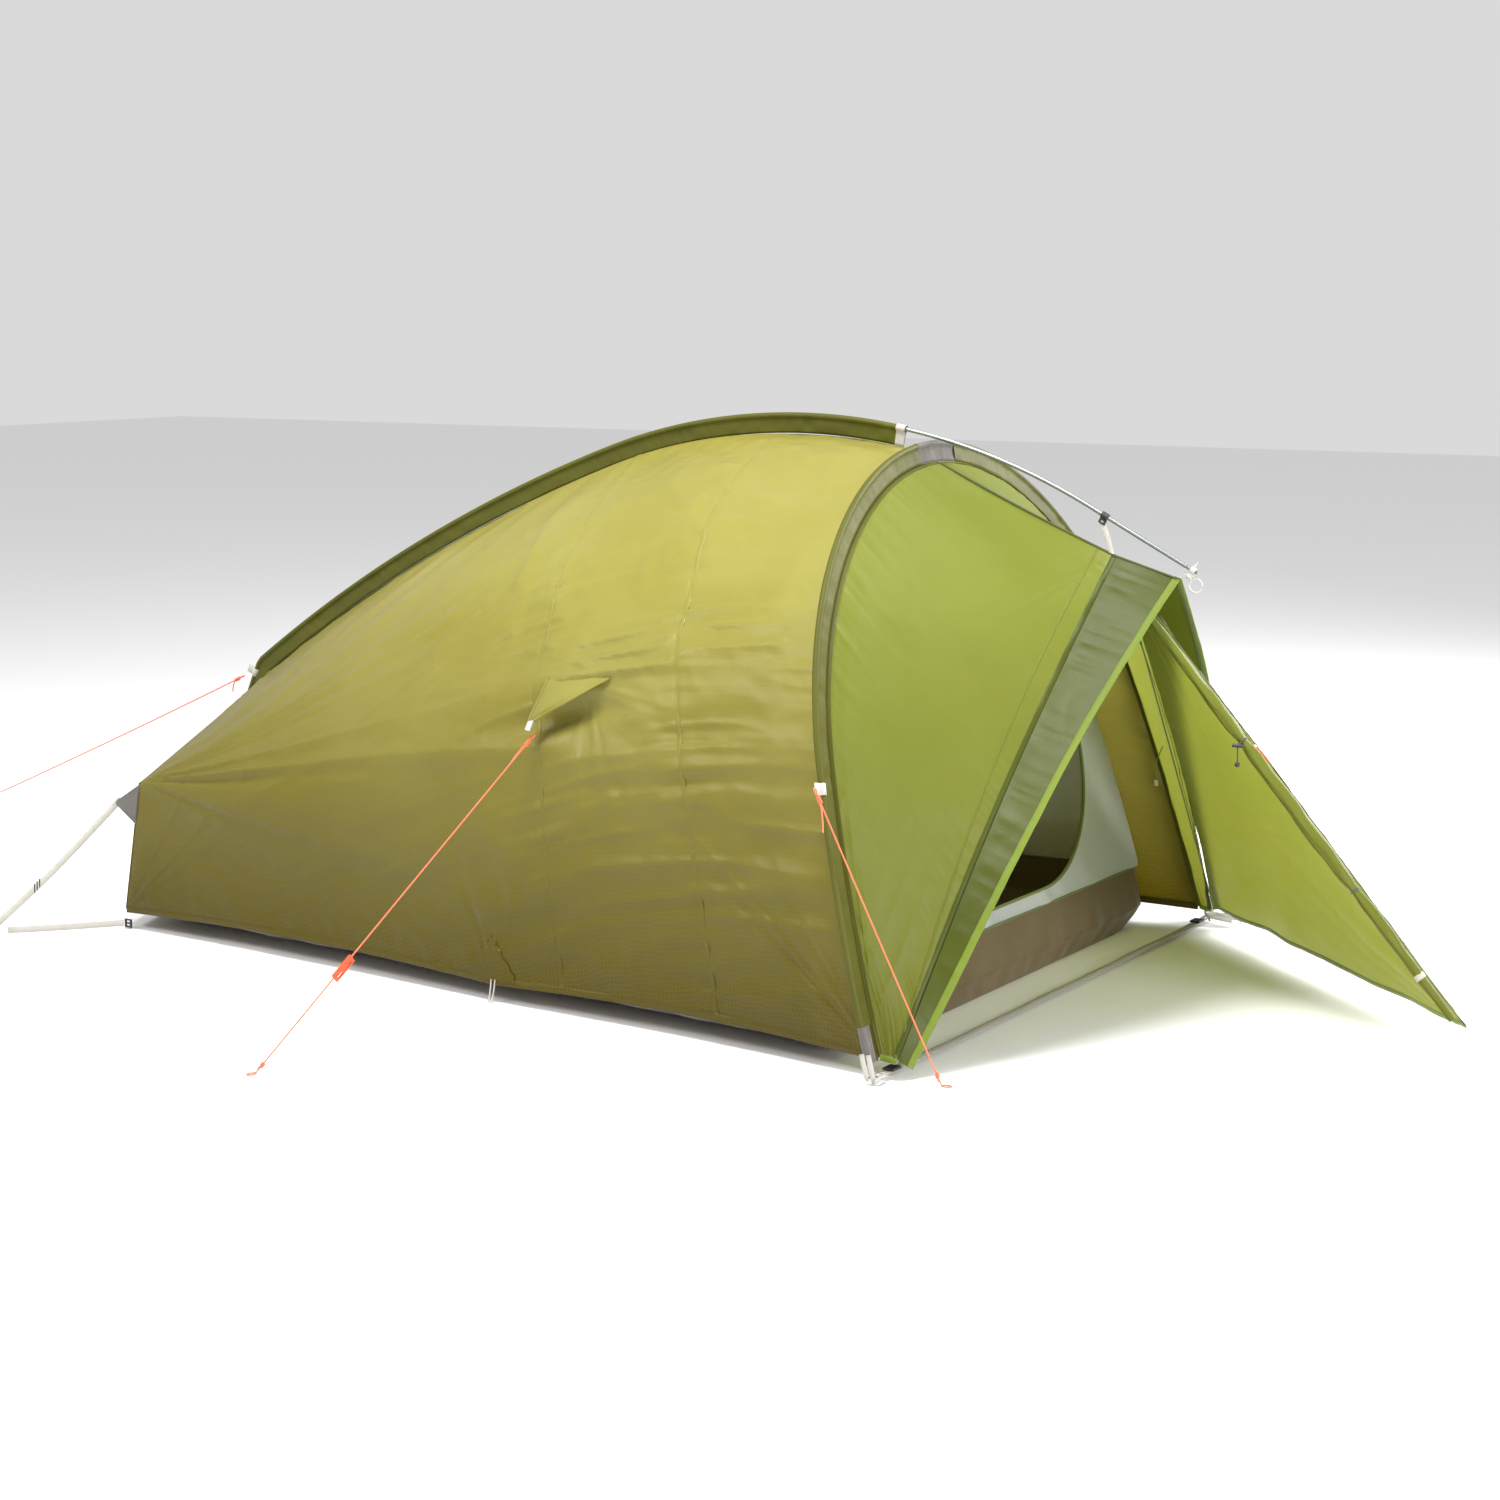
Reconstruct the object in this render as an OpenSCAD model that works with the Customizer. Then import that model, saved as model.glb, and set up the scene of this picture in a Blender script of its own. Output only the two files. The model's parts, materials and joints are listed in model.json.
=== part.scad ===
// Two-pole trekking tent: a ridge pole runs from the foot end over a leaning hoop to a brow,
// and a staked-out door closes the vestibule in front of the hoop.
// +X points from the foot end to the entrance, +Z points up, and the XZ plane is the mirror plane.
// The origin is the centre of the groundsheet's underside. "Left" is -Y, which is the left-hand
// side of a person who stands in front of the door and looks in.

/* [Hoop] */
// Distance from the centre of the groundsheet to the hoop's feet
hoop_x = 1090; // [1060:1120]
// Width between the hoop's feet
hoop_w = 1616; // [1580:1660]
// Height of the hoop pole's axis where the ridge pole crosses it
hoop_h = 1143; // [1130:1160]
// Radius of the hoop's crown
hoop_crown_r = 759; // [745:770]
// Angle that the hoop leans back towards the foot end
hoop_lean = 15.5; // [13:0.5:17]

/* [Ridge] */
// Place of the ridge pole's highest point along the tent
ridge_x = 447; // [430:460]
// Gap between the ridge pole's axis and the hoop pole's axis where they cross
crossing_gap = 15; // [13:20]
// Radius of the ridge pole's crown
ridge_crown_r = 1480; // [1460:1500]
// Slope of the brow, in front of the crown
brow_slope = 27.5; // [26:0.5:29]
// Slope of the ridge where its tighter crown ends
crown_slope = 19.5; // [19:0.5:20.5]
// Length of the straight brow
brow_l = 258; // [250:265]
// Radius of the ridge behind the crown
rear_r = 4200; // [4100:100:4400]
// Length of the ridge from the crown down to the elbow
rear_l = 1196; // [1180:1210]
// Place of the ridge pole's rear foot
rear_foot_x = -1350; // [-1380:-1330]

/* [Poles] */
// Outer diameter of the pole tube
pole_d = 9; // [8.5:0.25:9.5]
// Wall of the pole tube
pole_wall = 0.7; // [0.6:0.1:0.8]

/* [Fly] */
// Depth of the fin that carries each pole above the fly
fin = 38; // [34:42]
// Place of the rear corners along the tent
corner_x = -1022; // [-1040:-1010]
// Half the width of the foot end
corner_y = 573; // [560:590]
// Height of the rear corners' top
corner_z = 348; // [330:360]
// Height of the fly's hem above the ground
hem_z = 45; // [40:50]
// Thickness of the fabric solids
cloth = 1; // [0.8:0.1:1.2]

/* [Vestibule] */
// Top of the door's zips, on the brow
zip_top_x = 1194; // [1185:1200]
// Height of the top of the door's zips
zip_top_z = 927; // [920:930]
// Front of the hood that shelters the door's zips
hood_x = 1328; // [1320:1335]
// Height of the hood's front
hood_z = 888; // [885:890]
// Place of the door's peg point
door_tip_x = 1975; // [1960:1990]

/* [Inner tent] */
// Front edge of the groundsheet
floor_front_x = 985; // [975:995]
// Half the width of the groundsheet's front edge
floor_front_y = 735; // [725:745]
// Half the width of the groundsheet's rear edge
floor_rear_y = 545; // [535:550]
// Height of the groundsheet's turned-up wall
tub_h = 130; // [120:140]

/* [Hidden] */

$fn = 32;
arc_steps = 160;

olive = [0.62, 0.60, 0.25];
dark_olive = [0.48, 0.46, 0.10];
lime = [0.63, 0.69, 0.34];
webbing_grey = [0.72, 0.70, 0.66];
patch_grey = [0.58, 0.56, 0.52];
alloy = [0.74, 0.76, 0.77];
tub_brown = [0.43, 0.36, 0.27];
inner_grey = [0.72, 0.75, 0.74];
signal_orange = [0.92, 0.34, 0.18];
black = [0.12, 0.12, 0.12];

pole_r = pole_d / 2;
bore_r = pole_r - pole_wall;
ferrule_r = bore_r - 0.5;
cord_core_r = 1.2;
sleeve_gap = 0.4;
sleeve_wall = 0.8;
sleeve_r = pole_r + sleeve_gap + sleeve_wall;
web_t = 1.6;

// ---------- small helpers ----------

function lerp(a, b, t) = a + (b - a) * t;
function unit(a) = a / norm(a);
function flip(p, side) = [p[0], side * p[1], p[2]];
function along(points, t) =
    let (n = len(points) - 1, k = min(n - 1, floor(t * n)))
    lerp(points[k], points[k + 1], t * n - k);
// A quadratic curve from a to b that is pulled towards c
function bow(a, c, b, t) = (1 - t) * (1 - t) * a + 2 * t * (1 - t) * c + t * t * b;

// A patch that meets four edges: front and rear run from top to bottom, top and bottom run
// from front to rear.
function patch(u, v, front, rear, top, bottom) =
    lerp(front(v), rear(v), u) + lerp(top(u), bottom(u), v)
    - lerp(lerp(front(0), rear(0), u), lerp(front(1), rear(1), u), v);

function grid(n, m, place) = [for (i = [0:n]) [for (j = [0:m]) place(i / n, j / m)]];

function grid_normal(g, i, j) =
    let (
        n = len(g) - 1,
        m = len(g[0]) - 1,
        du = g[min(i + 1, n)][j] - g[max(i - 1, 0)][j],
        dv = g[i][min(j + 1, m)] - g[i][max(j - 1, 0)]
    )
    unit(cross(du, dv));

// A closed sheet of even thickness around a grid of points
module sheet(g, t = cloth) {
    n = len(g) - 1;
    m = len(g[0]) - 1;
    row = m + 1;
    layer = (n + 1) * row;
    half = [for (i = [0:n]) [for (j = [0:m]) grid_normal(g, i, j) * t / 2]];
    points = concat(
        [for (i = [0:n], j = [0:m]) g[i][j] + half[i][j]],
        [for (i = [0:n], j = [0:m]) g[i][j] - half[i][j]]
    );
    over = [for (i = [0:n - 1], j = [0:m - 1], k = [0, 1])
        let (a = i * row + j) k == 0 ? [a, a + row, a + row + 1] : [a, a + row + 1, a + 1]];
    under = [for (f = over) [f[2] + layer, f[1] + layer, f[0] + layer]];
    rim = concat(
        [for (i = [0:n]) i * row],
        [for (j = [1:m]) n * row + j],
        [for (i = [n - 1:-1:0]) i * row + m],
        [for (j = [m - 1:-1:1]) j]
    );
    walls = [for (k = [0:len(rim) - 1], s = [0, 1])
        let (a = rim[k], b = rim[(k + 1) % len(rim)])
        s == 0 ? [a, a + layer, b + layer] : [a, b + layer, b]];
    polyhedron(points, concat(over, under, walls), convexity = 6);
}

// A round tube swept along a list of points, with a radius for each
module swept(path, radii, sides = 8) {
    n = len(path) - 1;
    dirs = [for (i = [0:n]) unit(path[min(i + 1, n)] - path[max(i - 1, 0)])];
    points = [for (i = [0:n])
        let (
            ref = abs(dirs[i][2]) > 0.9 ? [0, 1, 0] : [0, 0, 1],
            a = unit(cross(ref, dirs[i])),
            b = cross(dirs[i], a)
        )
        for (k = [0:sides - 1])
            path[i] + radii[i] * (a * cos(k * 360 / sides) + b * sin(k * 360 / sides))];
    skin = [for (i = [0:n - 1], k = [0:sides - 1], s = [0, 1])
        let (a = i * sides + k, b = i * sides + (k + 1) % sides)
        s == 0 ? [a, b, b + sides] : [a, b + sides, a + sides]];
    caps = [[for (k = [sides - 1:-1:0]) k], [for (k = [0:sides - 1]) n * sides + k]];
    polyhedron(points, concat(skin, caps), convexity = 4);
}

module both_sides() {
    children();
    mirror([0, 1, 0]) children();
}

// Turns the Z axis to the direction d
module aim(d) {
    rotate([0, acos(d[2] / norm(d)), atan2(d[1], d[0])]) children();
}

// Lays X along the line from a to b, and Y as near to the direction w as it can
module on_line(a, b, w) {
    d = unit(b - a);
    side = unit(w - d * (w * d));
    up = cross(d, side);
    multmatrix([
        [d[0], side[0], up[0], a[0]],
        [d[1], side[1], up[1], a[1]],
        [d[2], side[2], up[2], a[2]],
        [0, 0, 0, 1]
    ]) children();
}

// A flat strap from a to b, whose width lies along the direction w
module strap(a, b, w, width, t) {
    on_line(a, b, w) translate([0, -width / 2, -t / 2]) cube([norm(b - a), width, t]);
}

module tube_profile(r, wall) {
    difference() {
        circle(r, $fn = 32);
        circle(r - wall, $fn = 32);
    }
}

// The ring that holds a pole, with the fin under it; +x points away from the tent
module sleeve_profile() {
    difference() {
        union() {
            circle(sleeve_r, $fn = 32);
            translate([-fin, -web_t / 2]) square([fin - pole_r - sleeve_gap - sleeve_wall / 2, web_t]);
        }
        circle(sleeve_r - sleeve_wall, $fn = 32);
    }
}

// ---------- the hoop, a three-centred arch in a leaning plane ----------

hoop_half_w = hoop_w / 2;
hoop_s = hoop_h / cos(hoop_lean);
hoop_side_r = (hoop_half_w * hoop_half_w + hoop_s * hoop_s - 2 * hoop_s * hoop_crown_r)
    / (2 * (hoop_half_w - hoop_crown_r));
hoop_join = atan2(hoop_s - hoop_crown_r, hoop_side_r - hoop_half_w);
hoop_crown_l = hoop_crown_r * (90 - hoop_join) * PI / 180;
hoop_side_l = hoop_side_r * hoop_join * PI / 180;
hoop_half_l = hoop_crown_l + hoop_side_l;

// Point on the arch: q is 0 at the top and 1 at the foot, and off is the distance inside the axis
function hoop_flat(q, off = 0) =
    let (l = q * hoop_half_l)
    l < hoop_crown_l
        ? let (e = 90 - l / hoop_crown_r * 180 / PI)
            [(hoop_crown_r - off) * cos(e), hoop_s - hoop_crown_r + (hoop_crown_r - off) * sin(e)]
        : let (e = hoop_join - (l - hoop_crown_l) / hoop_side_r * 180 / PI)
            [hoop_half_w - hoop_side_r + (hoop_side_r - off) * cos(e), (hoop_side_r - off) * sin(e)];
function leaning(p, x) = [x - p[1] * sin(hoop_lean), p[0], p[1] * cos(hoop_lean)];
function hoop_point(q, side, off = 0, dx = 0) = flip(leaning(hoop_flat(q, off), hoop_x + dx), side);

// Draws in the hoop's plane, with the arch's width along Y and its height along Z
module in_hoop_plane() {
    translate([hoop_x, 0, 0]) rotate([0, -hoop_lean, 0]) children();
}

// Sweeps a profile round part of a circle in the YZ plane; +x of the profile points outwards
module arc_yz(centre, r, from, to) {
    translate([0, centre[0], centre[1]]) rotate([90, 0, 90]) rotate([0, 0, from])
        rotate_extrude(angle = to - from, $fn = arc_steps) translate([r, 0]) children();
}

// Sweeps a profile along the hoop from length a to length b, measured from the left foot
module along_hoop(a, b) {
    crown_from = hoop_side_l;
    crown_to = hoop_side_l + 2 * hoop_crown_l;
    if (a < crown_from) {
        left_turn = 180 / PI / hoop_side_r;
        arc_yz([hoop_side_r - hoop_half_w, 0], hoop_side_r,
            180 - min(b, crown_from) * left_turn, 180 - a * left_turn) children();
    }
    if (b > crown_from && a < crown_to) {
        crown_turn = 180 / PI / hoop_crown_r;
        arc_yz([0, hoop_s - hoop_crown_r], hoop_crown_r,
            180 - hoop_join - (min(b, crown_to) - crown_from) * crown_turn,
            180 - hoop_join - (max(a, crown_from) - crown_from) * crown_turn) children();
    }
    if (b > crown_to) {
        right_turn = 180 / PI / hoop_side_r;
        arc_yz([hoop_half_w - hoop_side_r, 0], hoop_side_r,
            hoop_join - (b - crown_to) * right_turn,
            hoop_join - (max(a, crown_to) - crown_to) * right_turn) children();
    }
}

// ---------- the ridge pole, in the mirror plane ----------

hoop_top_x = hoop_x - hoop_s * sin(hoop_lean);
crossing_turn = asin((hoop_top_x - ridge_x) / ridge_crown_r);
ridge_centre_z = hoop_h + crossing_gap - ridge_crown_r * cos(crossing_turn);
ridge_crown_l = ridge_crown_r * (brow_slope + crown_slope) * PI / 180;
rear_centre_x = ridge_x + (rear_r - ridge_crown_r) * sin(crown_slope);
rear_centre_z = ridge_centre_z - (rear_r - ridge_crown_r) * cos(crown_slope);
rear_slope = crown_slope + rear_l / rear_r * 180 / PI;
ridge_l = brow_l + ridge_crown_l + rear_l;
crossing_l = brow_l + ridge_crown_r * (brow_slope - crossing_turn) * PI / 180;

// Point on a circle in the XZ plane, at the slope e behind its top
function arc_point(x, z, r, e, y) = [x - r * sin(e), y, z + r * cos(e)];

// Point on the ridge: l is the length from the brow's end, and off is the distance below the axis
function ridge_point(l, off = 0, y = 0) =
    let (k = (l - brow_l) * 180 / PI)
    l < brow_l
        ? arc_point(ridge_x, ridge_centre_z, ridge_crown_r - off, -brow_slope, y)
            + (brow_l - l) * [cos(brow_slope), 0, -sin(brow_slope)]
    : l < brow_l + ridge_crown_l
        ? arc_point(ridge_x, ridge_centre_z, ridge_crown_r - off, k / ridge_crown_r - brow_slope, y)
        : arc_point(rear_centre_x, rear_centre_z, rear_r - off,
            crown_slope + (l - brow_l - ridge_crown_l) / rear_r * 180 / PI, y);

elbow = ridge_point(ridge_l);
rear_foot = [rear_foot_x, 0, 0];
foot_dir = unit(rear_foot - elbow);
foot_slope = atan2(-foot_dir[2], -foot_dir[0]);
elbow_bend = foot_slope - rear_slope;
elbow_r = 60;
elbow_cut = elbow_r * tan(elbow_bend / 2);
foot_l = norm(rear_foot - elbow);

// Sweeps a profile round part of a circle in the XZ plane, with angles from +X towards +Z
module arc_xz(centre, r, from, to) {
    translate([centre[0], 0, centre[1]]) rotate([90, 0, 0]) rotate([0, 0, from])
        rotate_extrude(angle = to - from, $fn = arc_steps) translate([r, 0]) children();
}

// Extrudes a profile along a straight line in the mirror plane; +x of the profile points up
module straight_xz(a, b) {
    turn = atan2(b[2] - a[2], b[0] - a[0]);
    translate(a) rotate([0, -turn, 0]) rotate([0, 90, 0]) rotate([0, 0, 180])
        linear_extrude(norm(b - a)) children();
}

// Sweeps a profile along the ridge from length a to length b; the profile faces away from the tent
module along_ridge(a, b) {
    crown_to = brow_l + ridge_crown_l;
    if (a < brow_l) straight_xz(ridge_point(min(b, brow_l)), ridge_point(a)) children();
    if (b > brow_l && a < crown_to) {
        turn = 180 / PI / ridge_crown_r;
        arc_xz([ridge_x, ridge_centre_z], ridge_crown_r,
            90 - brow_slope + (max(a, brow_l) - brow_l) * turn,
            90 - brow_slope + (min(b, crown_to) - brow_l) * turn) children();
    }
    if (b > crown_to) {
        turn = 180 / PI / rear_r;
        arc_xz([rear_centre_x, rear_centre_z], rear_r,
            90 + crown_slope + (max(a, crown_to) - crown_to) * turn,
            90 + crown_slope + (b - crown_to) * turn) children();
    }
}

elbow_start = elbow + elbow_cut * [cos(rear_slope), 0, sin(rear_slope)];
elbow_centre = elbow_start + elbow_r * [sin(rear_slope), 0, -cos(rear_slope)];

module elbow_arc() {
    arc_xz([elbow_centre[0], elbow_centre[2]], elbow_r, 90 + rear_slope, 90 + foot_slope) children();
}

module foot_run(a, b) {
    straight_xz(elbow + foot_dir * b, elbow + foot_dir * a) children();
}

// ---------- poles ----------

section_gap = 0.4;
foot_tip_l = 28;
ridge_sections = 3;
hoop_sections = 8;
hoop_l = 2 * hoop_half_l - 2 * foot_tip_l;
hoop_step = hoop_l / hoop_sections;
crown_step = ridge_crown_l / ridge_sections;
rear_step = (rear_l - elbow_cut - 2) / 2;
ferrule_half = 40;

module ridge_pole_foot() {
    color(alloy) foot_run(elbow_cut + 1, foot_l - foot_tip_l) tube_profile(pole_r, pole_wall);
}

module ridge_pole_elbow() {
    color(alloy) elbow_arc() tube_profile(pole_r, pole_wall);
}

module ridge_pole_rear() {
    color(alloy) for (k = [0, 1])
        along_ridge(brow_l + ridge_crown_l + k * rear_step + section_gap,
            brow_l + ridge_crown_l + (k + 1) * rear_step) tube_profile(pole_r, pole_wall);
}

module ridge_pole_crown() {
    color(alloy) for (k = [0:ridge_sections - 1])
        along_ridge(brow_l + k * crown_step + section_gap, brow_l + (k + 1) * crown_step)
            tube_profile(pole_r, pole_wall);
}

module ridge_pole_brow() {
    color(alloy) along_ridge(12, brow_l) tube_profile(pole_r, pole_wall);
}

module hoop_pole() {
    color(alloy) in_hoop_plane() for (k = [0:hoop_sections - 1])
        along_hoop(foot_tip_l + k * hoop_step + section_gap, foot_tip_l + (k + 1) * hoop_step)
            tube_profile(pole_r, pole_wall);
}

module pole_ferrules() {
    color(alloy) {
        for (k = [0:ridge_sections])
            along_ridge(brow_l + k * crown_step - ferrule_half, brow_l + k * crown_step + ferrule_half)
                tube_profile(ferrule_r, pole_wall);
        along_ridge(ridge_l - elbow_cut - rear_step - ferrule_half - 2,
            ridge_l - elbow_cut - rear_step + ferrule_half - 2) tube_profile(ferrule_r, pole_wall);
        in_hoop_plane() for (k = [1:hoop_sections - 1])
            along_hoop(foot_tip_l + k * hoop_step - ferrule_half, foot_tip_l + k * hoop_step + ferrule_half)
                tube_profile(ferrule_r, pole_wall);
    }
}

tip_pin_r = 2.6;
tip_pin_l = 16;
tip_collar_l = foot_tip_l - tip_pin_l - 2;

// A turned end plug: its collar closes the tube, and its pin seats in a webbing eyelet
module pole_tip() {
    cylinder(r = tip_pin_r, h = tip_pin_l);
    translate([0, 0, tip_pin_l]) cylinder(r = pole_r, h = tip_collar_l);
    translate([0, 0, tip_pin_l]) cylinder(r = bore_r - 0.5, h = tip_collar_l + 10);
}

module pole_tips() {
    color(alloy) {
        in_hoop_plane() for (side = [-1, 1])
            translate([0, side * hoop_half_w, 1]) pole_tip();
        translate(rear_foot - foot_dir * 1.4) aim(-foot_dir) pole_tip();
        translate(ridge_point(-16)) aim([-cos(brow_slope), 0, sin(brow_slope)]) pole_tip();
    }
}

cord_steps = 36;
elbow_steps = 5;

module shock_cords() {
    ridge_path = concat(
        [for (k = [0:cord_steps]) ridge_point(lerp(30, ridge_l - elbow_cut, k / cord_steps))],
        [for (k = [1:elbow_steps])
            let (a = lerp(90 + rear_slope, 90 + foot_slope, k / elbow_steps))
            elbow_centre + elbow_r * [cos(a), 0, sin(a)]],
        [rear_foot - foot_dir * 46]
    );
    hoop_path = [for (k = [-cord_steps / 2:cord_steps / 2])
        hoop_point(abs(k) / cord_steps * 2 * 0.97, k < 0 ? -1 : 1)];
    color(black) {
        swept(ridge_path, [for (p = ridge_path) cord_core_r], 8);
        swept(hoop_path, [for (p = hoop_path) cord_core_r], 8);
    }
}

// ---------- fly ----------

seam = 2;
knee = 2 / 3;
sleeve_start_l = crossing_l + 82;
fin_foot = fin + seam;
ridge_rear_low = elbow + fin_foot * [sin(rear_slope), 0, -cos(rear_slope)];
corner_top = [corner_x + 52, corner_y - 3, corner_z];
corner_low = [corner_x, corner_y, hem_z];
hoop_hem_q = 1 - hem_z / hoop_half_l;

// The left half of the main fly, from the hoop (u = 0) to the rear corner (u = 1)
function fly_point(u, v) =
    let (
        front = function (v) hoop_point(v * hoop_hem_q, -1, fin_foot, -seam),
        rear = function (v) v < knee
            ? lerp(ridge_rear_low + [0, -seam, 0], flip(corner_top, -1), v / knee)
            : lerp(flip(corner_top, -1), flip(corner_low, -1), (v - knee) / (1 - knee)),
        top = function (u)
            ridge_point(lerp(crossing_l + seam, ridge_l, u), fin_foot, -seam),
        bottom = function (u) lerp(front(1), rear(1), u)
    )
    patch(u, v, front, rear, top, bottom);

module fly_half() {
    sheet(grid(16, 12, function (u, v) fly_point(0.002 + 0.996 * u, v)));
}

module fly_left() {
    color(olive) fly_half();
}

module fly_right() {
    color(olive) mirror([0, 1, 0]) fly_half();
}

module fly_rear() {
    gap = 3;
    centre_gap = 9;
    low = rear_foot + [72, 0, hem_z];
    color(olive) sheet(grid(12, 8, function (u, v)
        let (
            side = u < 0.5 ? -1 : 1,
            k = abs(2 * u - 1),
            centre = lerp(ridge_rear_low + [centre_gap, 0, -centre_gap], low, v),
            edge = lerp(corner_top, corner_low, v) - [gap, 0, gap * (1 - v)]
        )
        lerp(centre, flip(edge, side), k)));
}

module ridge_sleeve() {
    color(dark_olive) {
        along_ridge(sleeve_start_l, ridge_l - elbow_cut) sleeve_profile();
        foot_run(elbow_cut + 4, foot_l - 60) sleeve_profile();
    }
}

patch_half = 80;
pocket_l = 110;

module hoop_sleeve() {
    middle = hoop_half_l;
    color(dark_olive) in_hoop_plane() {
        along_hoop(pocket_l, middle - patch_half) sleeve_profile();
        along_hoop(middle + patch_half, 2 * middle - pocket_l) sleeve_profile();
    }
}

module crossing_patch() {
    color(patch_grey) in_hoop_plane()
        along_hoop(hoop_half_l - patch_half + 1, hoop_half_l + patch_half - 1) sleeve_profile();
}

module hoop_foot_pockets() {
    color(patch_grey) in_hoop_plane() {
        along_hoop(foot_tip_l + 6, pocket_l - 1) sleeve_profile();
        along_hoop(2 * hoop_half_l - pocket_l + 1, 2 * hoop_half_l - foot_tip_l - 6) sleeve_profile();
    }
}

// ---------- vestibule ----------

zip_foot = [hoop_x + 22, 762, hem_z - 6];
zip_top = [zip_top_x, 0, zip_top_z];
hood_foot = [hoop_x + 40, 742, hem_z - 22];
hood_top = [hood_x, 0, hood_z];
zip_belly = 36;

// The door's side zip, from the brow (v = 0) to the hoop's foot (v = 1)
function zip_point(v) =
    lerp(zip_top + [0, 4, 0], zip_foot, v) + zip_belly * sin(180 * v) * unit([0.1, 1, 0.8]);

function vestibule_point(u, v) =
    let (
        front = function (v) flip(hoop_point(v * hoop_hem_q, -1, fin_foot, seam), 1),
        rear = function (v) flip(zip_point(v), -1),
        top = function (u) bow(front(0), [lerp(hoop_top_x, zip_top_x, 0.5), -seam, 1010], rear(0), u),
        bottom = function (u) lerp(front(1), rear(1), u)
    )
    patch(u, v, front, rear, top, bottom);

module vestibule_half() {
    sheet(grid(10, 14, function (u, v) vestibule_point(0.004 + 0.99 * u, v)));
}

module vestibule_left() {
    color(lime) vestibule_half();
}

module vestibule_right() {
    color(lime) mirror([0, 1, 0]) vestibule_half();
}

// The hood's front edge, which flares near the brow
function hood_edge(v) =
    lerp(hood_top + [0, 4, 0], hood_foot, v) + 40 * sin(180 * v) * (1 - v) * unit([0, 1, 0.6])
    + zip_belly * sin(180 * v) * unit([0.3, 1, 0.5]);

module hood_half() {
    sheet(grid(4, 14, function (u, v)
        flip(lerp(zip_point(v) + [4, 0, 0], hood_edge(v), u), -1)));
}

module hood_left() {
    color(lime) hood_half();
}

// On the right the hood stands clear of the closed half of the door
hood_clear = 24;

module hood_right() {
    color(lime) sheet(grid(4, 14, function (u, v)
        lerp(zip_point(v) + [4, 0, 0], hood_edge(v) + hood_clear * v * door_out(v), u)));
}

// ---------- door ----------

door_top = [zip_top_x + 26, 0, zip_top_z - 40];
door_tip = [door_tip_x, 0, hem_z - 20];

function door_hinge(v) = lerp(door_top + [-14, 16, 4], zip_foot + [14, -4, -2], v);
function door_centre(v) = lerp(door_top, door_tip, v) + [0, 6, 0];
function door_point(u, v) =
    lerp(door_hinge(v), door_centre(v), u)
    + 30 * sin(180 * v) * sin(180 * u) * unit([0.5, 0.6, 0.3]);

module door_right() {
    color(lime) sheet(grid(10, 14, function (u, v) door_point(0.02 + 0.96 * u, 0.03 + 0.95 * v)));
}

roll_steps = 16;

// The direction out of the tent, square to the door
function door_out(v) = unit(cross(door_centre(1) - door_centre(0), door_hinge(1) - door_hinge(0)));

// The left half of the door, rolled up beside the centre zip
function roll_axis(v) = door_centre(v) + [0, -42, 0];
function roll_r(v) = 8 + 7 * sin(180 * v);

module door_left_rolled() {
    color(lime) swept([for (k = [0:roll_steps]) roll_axis(0.05 + 0.9 * k / roll_steps)],
        [for (k = [0:roll_steps]) roll_r(k / roll_steps)], 12);
}

module door_tip_loop() {
    a = door_tip + [4, 0, -4];
    color(webbing_grey) {
        strap(a, [door_tip_x + 34, -9, 4], [0, 1, 0], 8, 1.5);
        strap(a + [0, 8, 0], [door_tip_x + 34, 17, 4], [0, 1, 0], 8, 1.5);
    }
}

// Two ties hold the roll: each is a ring of cord round it
tie_places = [0.36, 0.68];

module door_ties() {
    d = unit(door_tip - door_top);
    color(black) for (v = tie_places)
        translate(roll_axis(v)) aim(d) rotate_extrude() translate([roll_r((v - 0.05) / 0.9) + 4, 0]) circle(1.5);
}

toggle_v = 0.36;
toggle_top = roll_axis(toggle_v) + [0, -26, -6];

module door_toggle() {
    color(black) {
        translate(toggle_top) rotate([0, 90, 0]) translate([0, 0, -11]) cylinder(r = 3.5, h = 22);
        translate(toggle_top + [0, 0, -34]) cylinder(r = 1.2, h = 31);
        translate(toggle_top + [0, 0, -38]) sphere(5);
    }
}

// ---------- webbing, loops and guy points ----------

module sleeve_end_band() {
    color(webbing_grey) along_ridge(sleeve_start_l - 16, sleeve_start_l - 1) difference() {
        union() {
            circle(sleeve_r + 1);
            translate([-fin, -2]) square([fin, 4]);
        }
        circle(sleeve_r - sleeve_wall);
    }
}

module rear_guy_loop() {
    color(webbing_grey) foot_run(elbow_cut + 6, elbow_cut + 26) difference() {
        union() {
            circle(sleeve_r + 1.6);
            translate([0, -2.4]) square([26, 4.8]);
        }
        circle(sleeve_r + 0.3);
        translate([-fin, -web_t / 2 - 0.3]) square([fin, web_t + 0.6]);
    }
}

hoop_guy_q = 0.655;

module hoop_guy_loops() {
    l = (1 - hoop_guy_q) * hoop_half_l;
    color(webbing_grey) in_hoop_plane() for (a = [l, 2 * hoop_half_l - l])
        along_hoop(a - 12, a + 12) difference() {
            union() {
                circle(sleeve_r + 1.6);
                translate([0, -2.4]) square([22, 4.8]);
            }
            circle(sleeve_r + 0.3);
            translate([-fin, -web_t / 2 - 0.3]) square([fin, web_t + 0.6]);
        }
}

tab_u = 0.348;
tab_v = 0.565;
tab_base = fly_point(tab_u, tab_v);
tab_front = fly_point(tab_u - 0.078, tab_v);
tab_out = [-12, -48, -82];
tab_tip = tab_base + tab_out;

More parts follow.
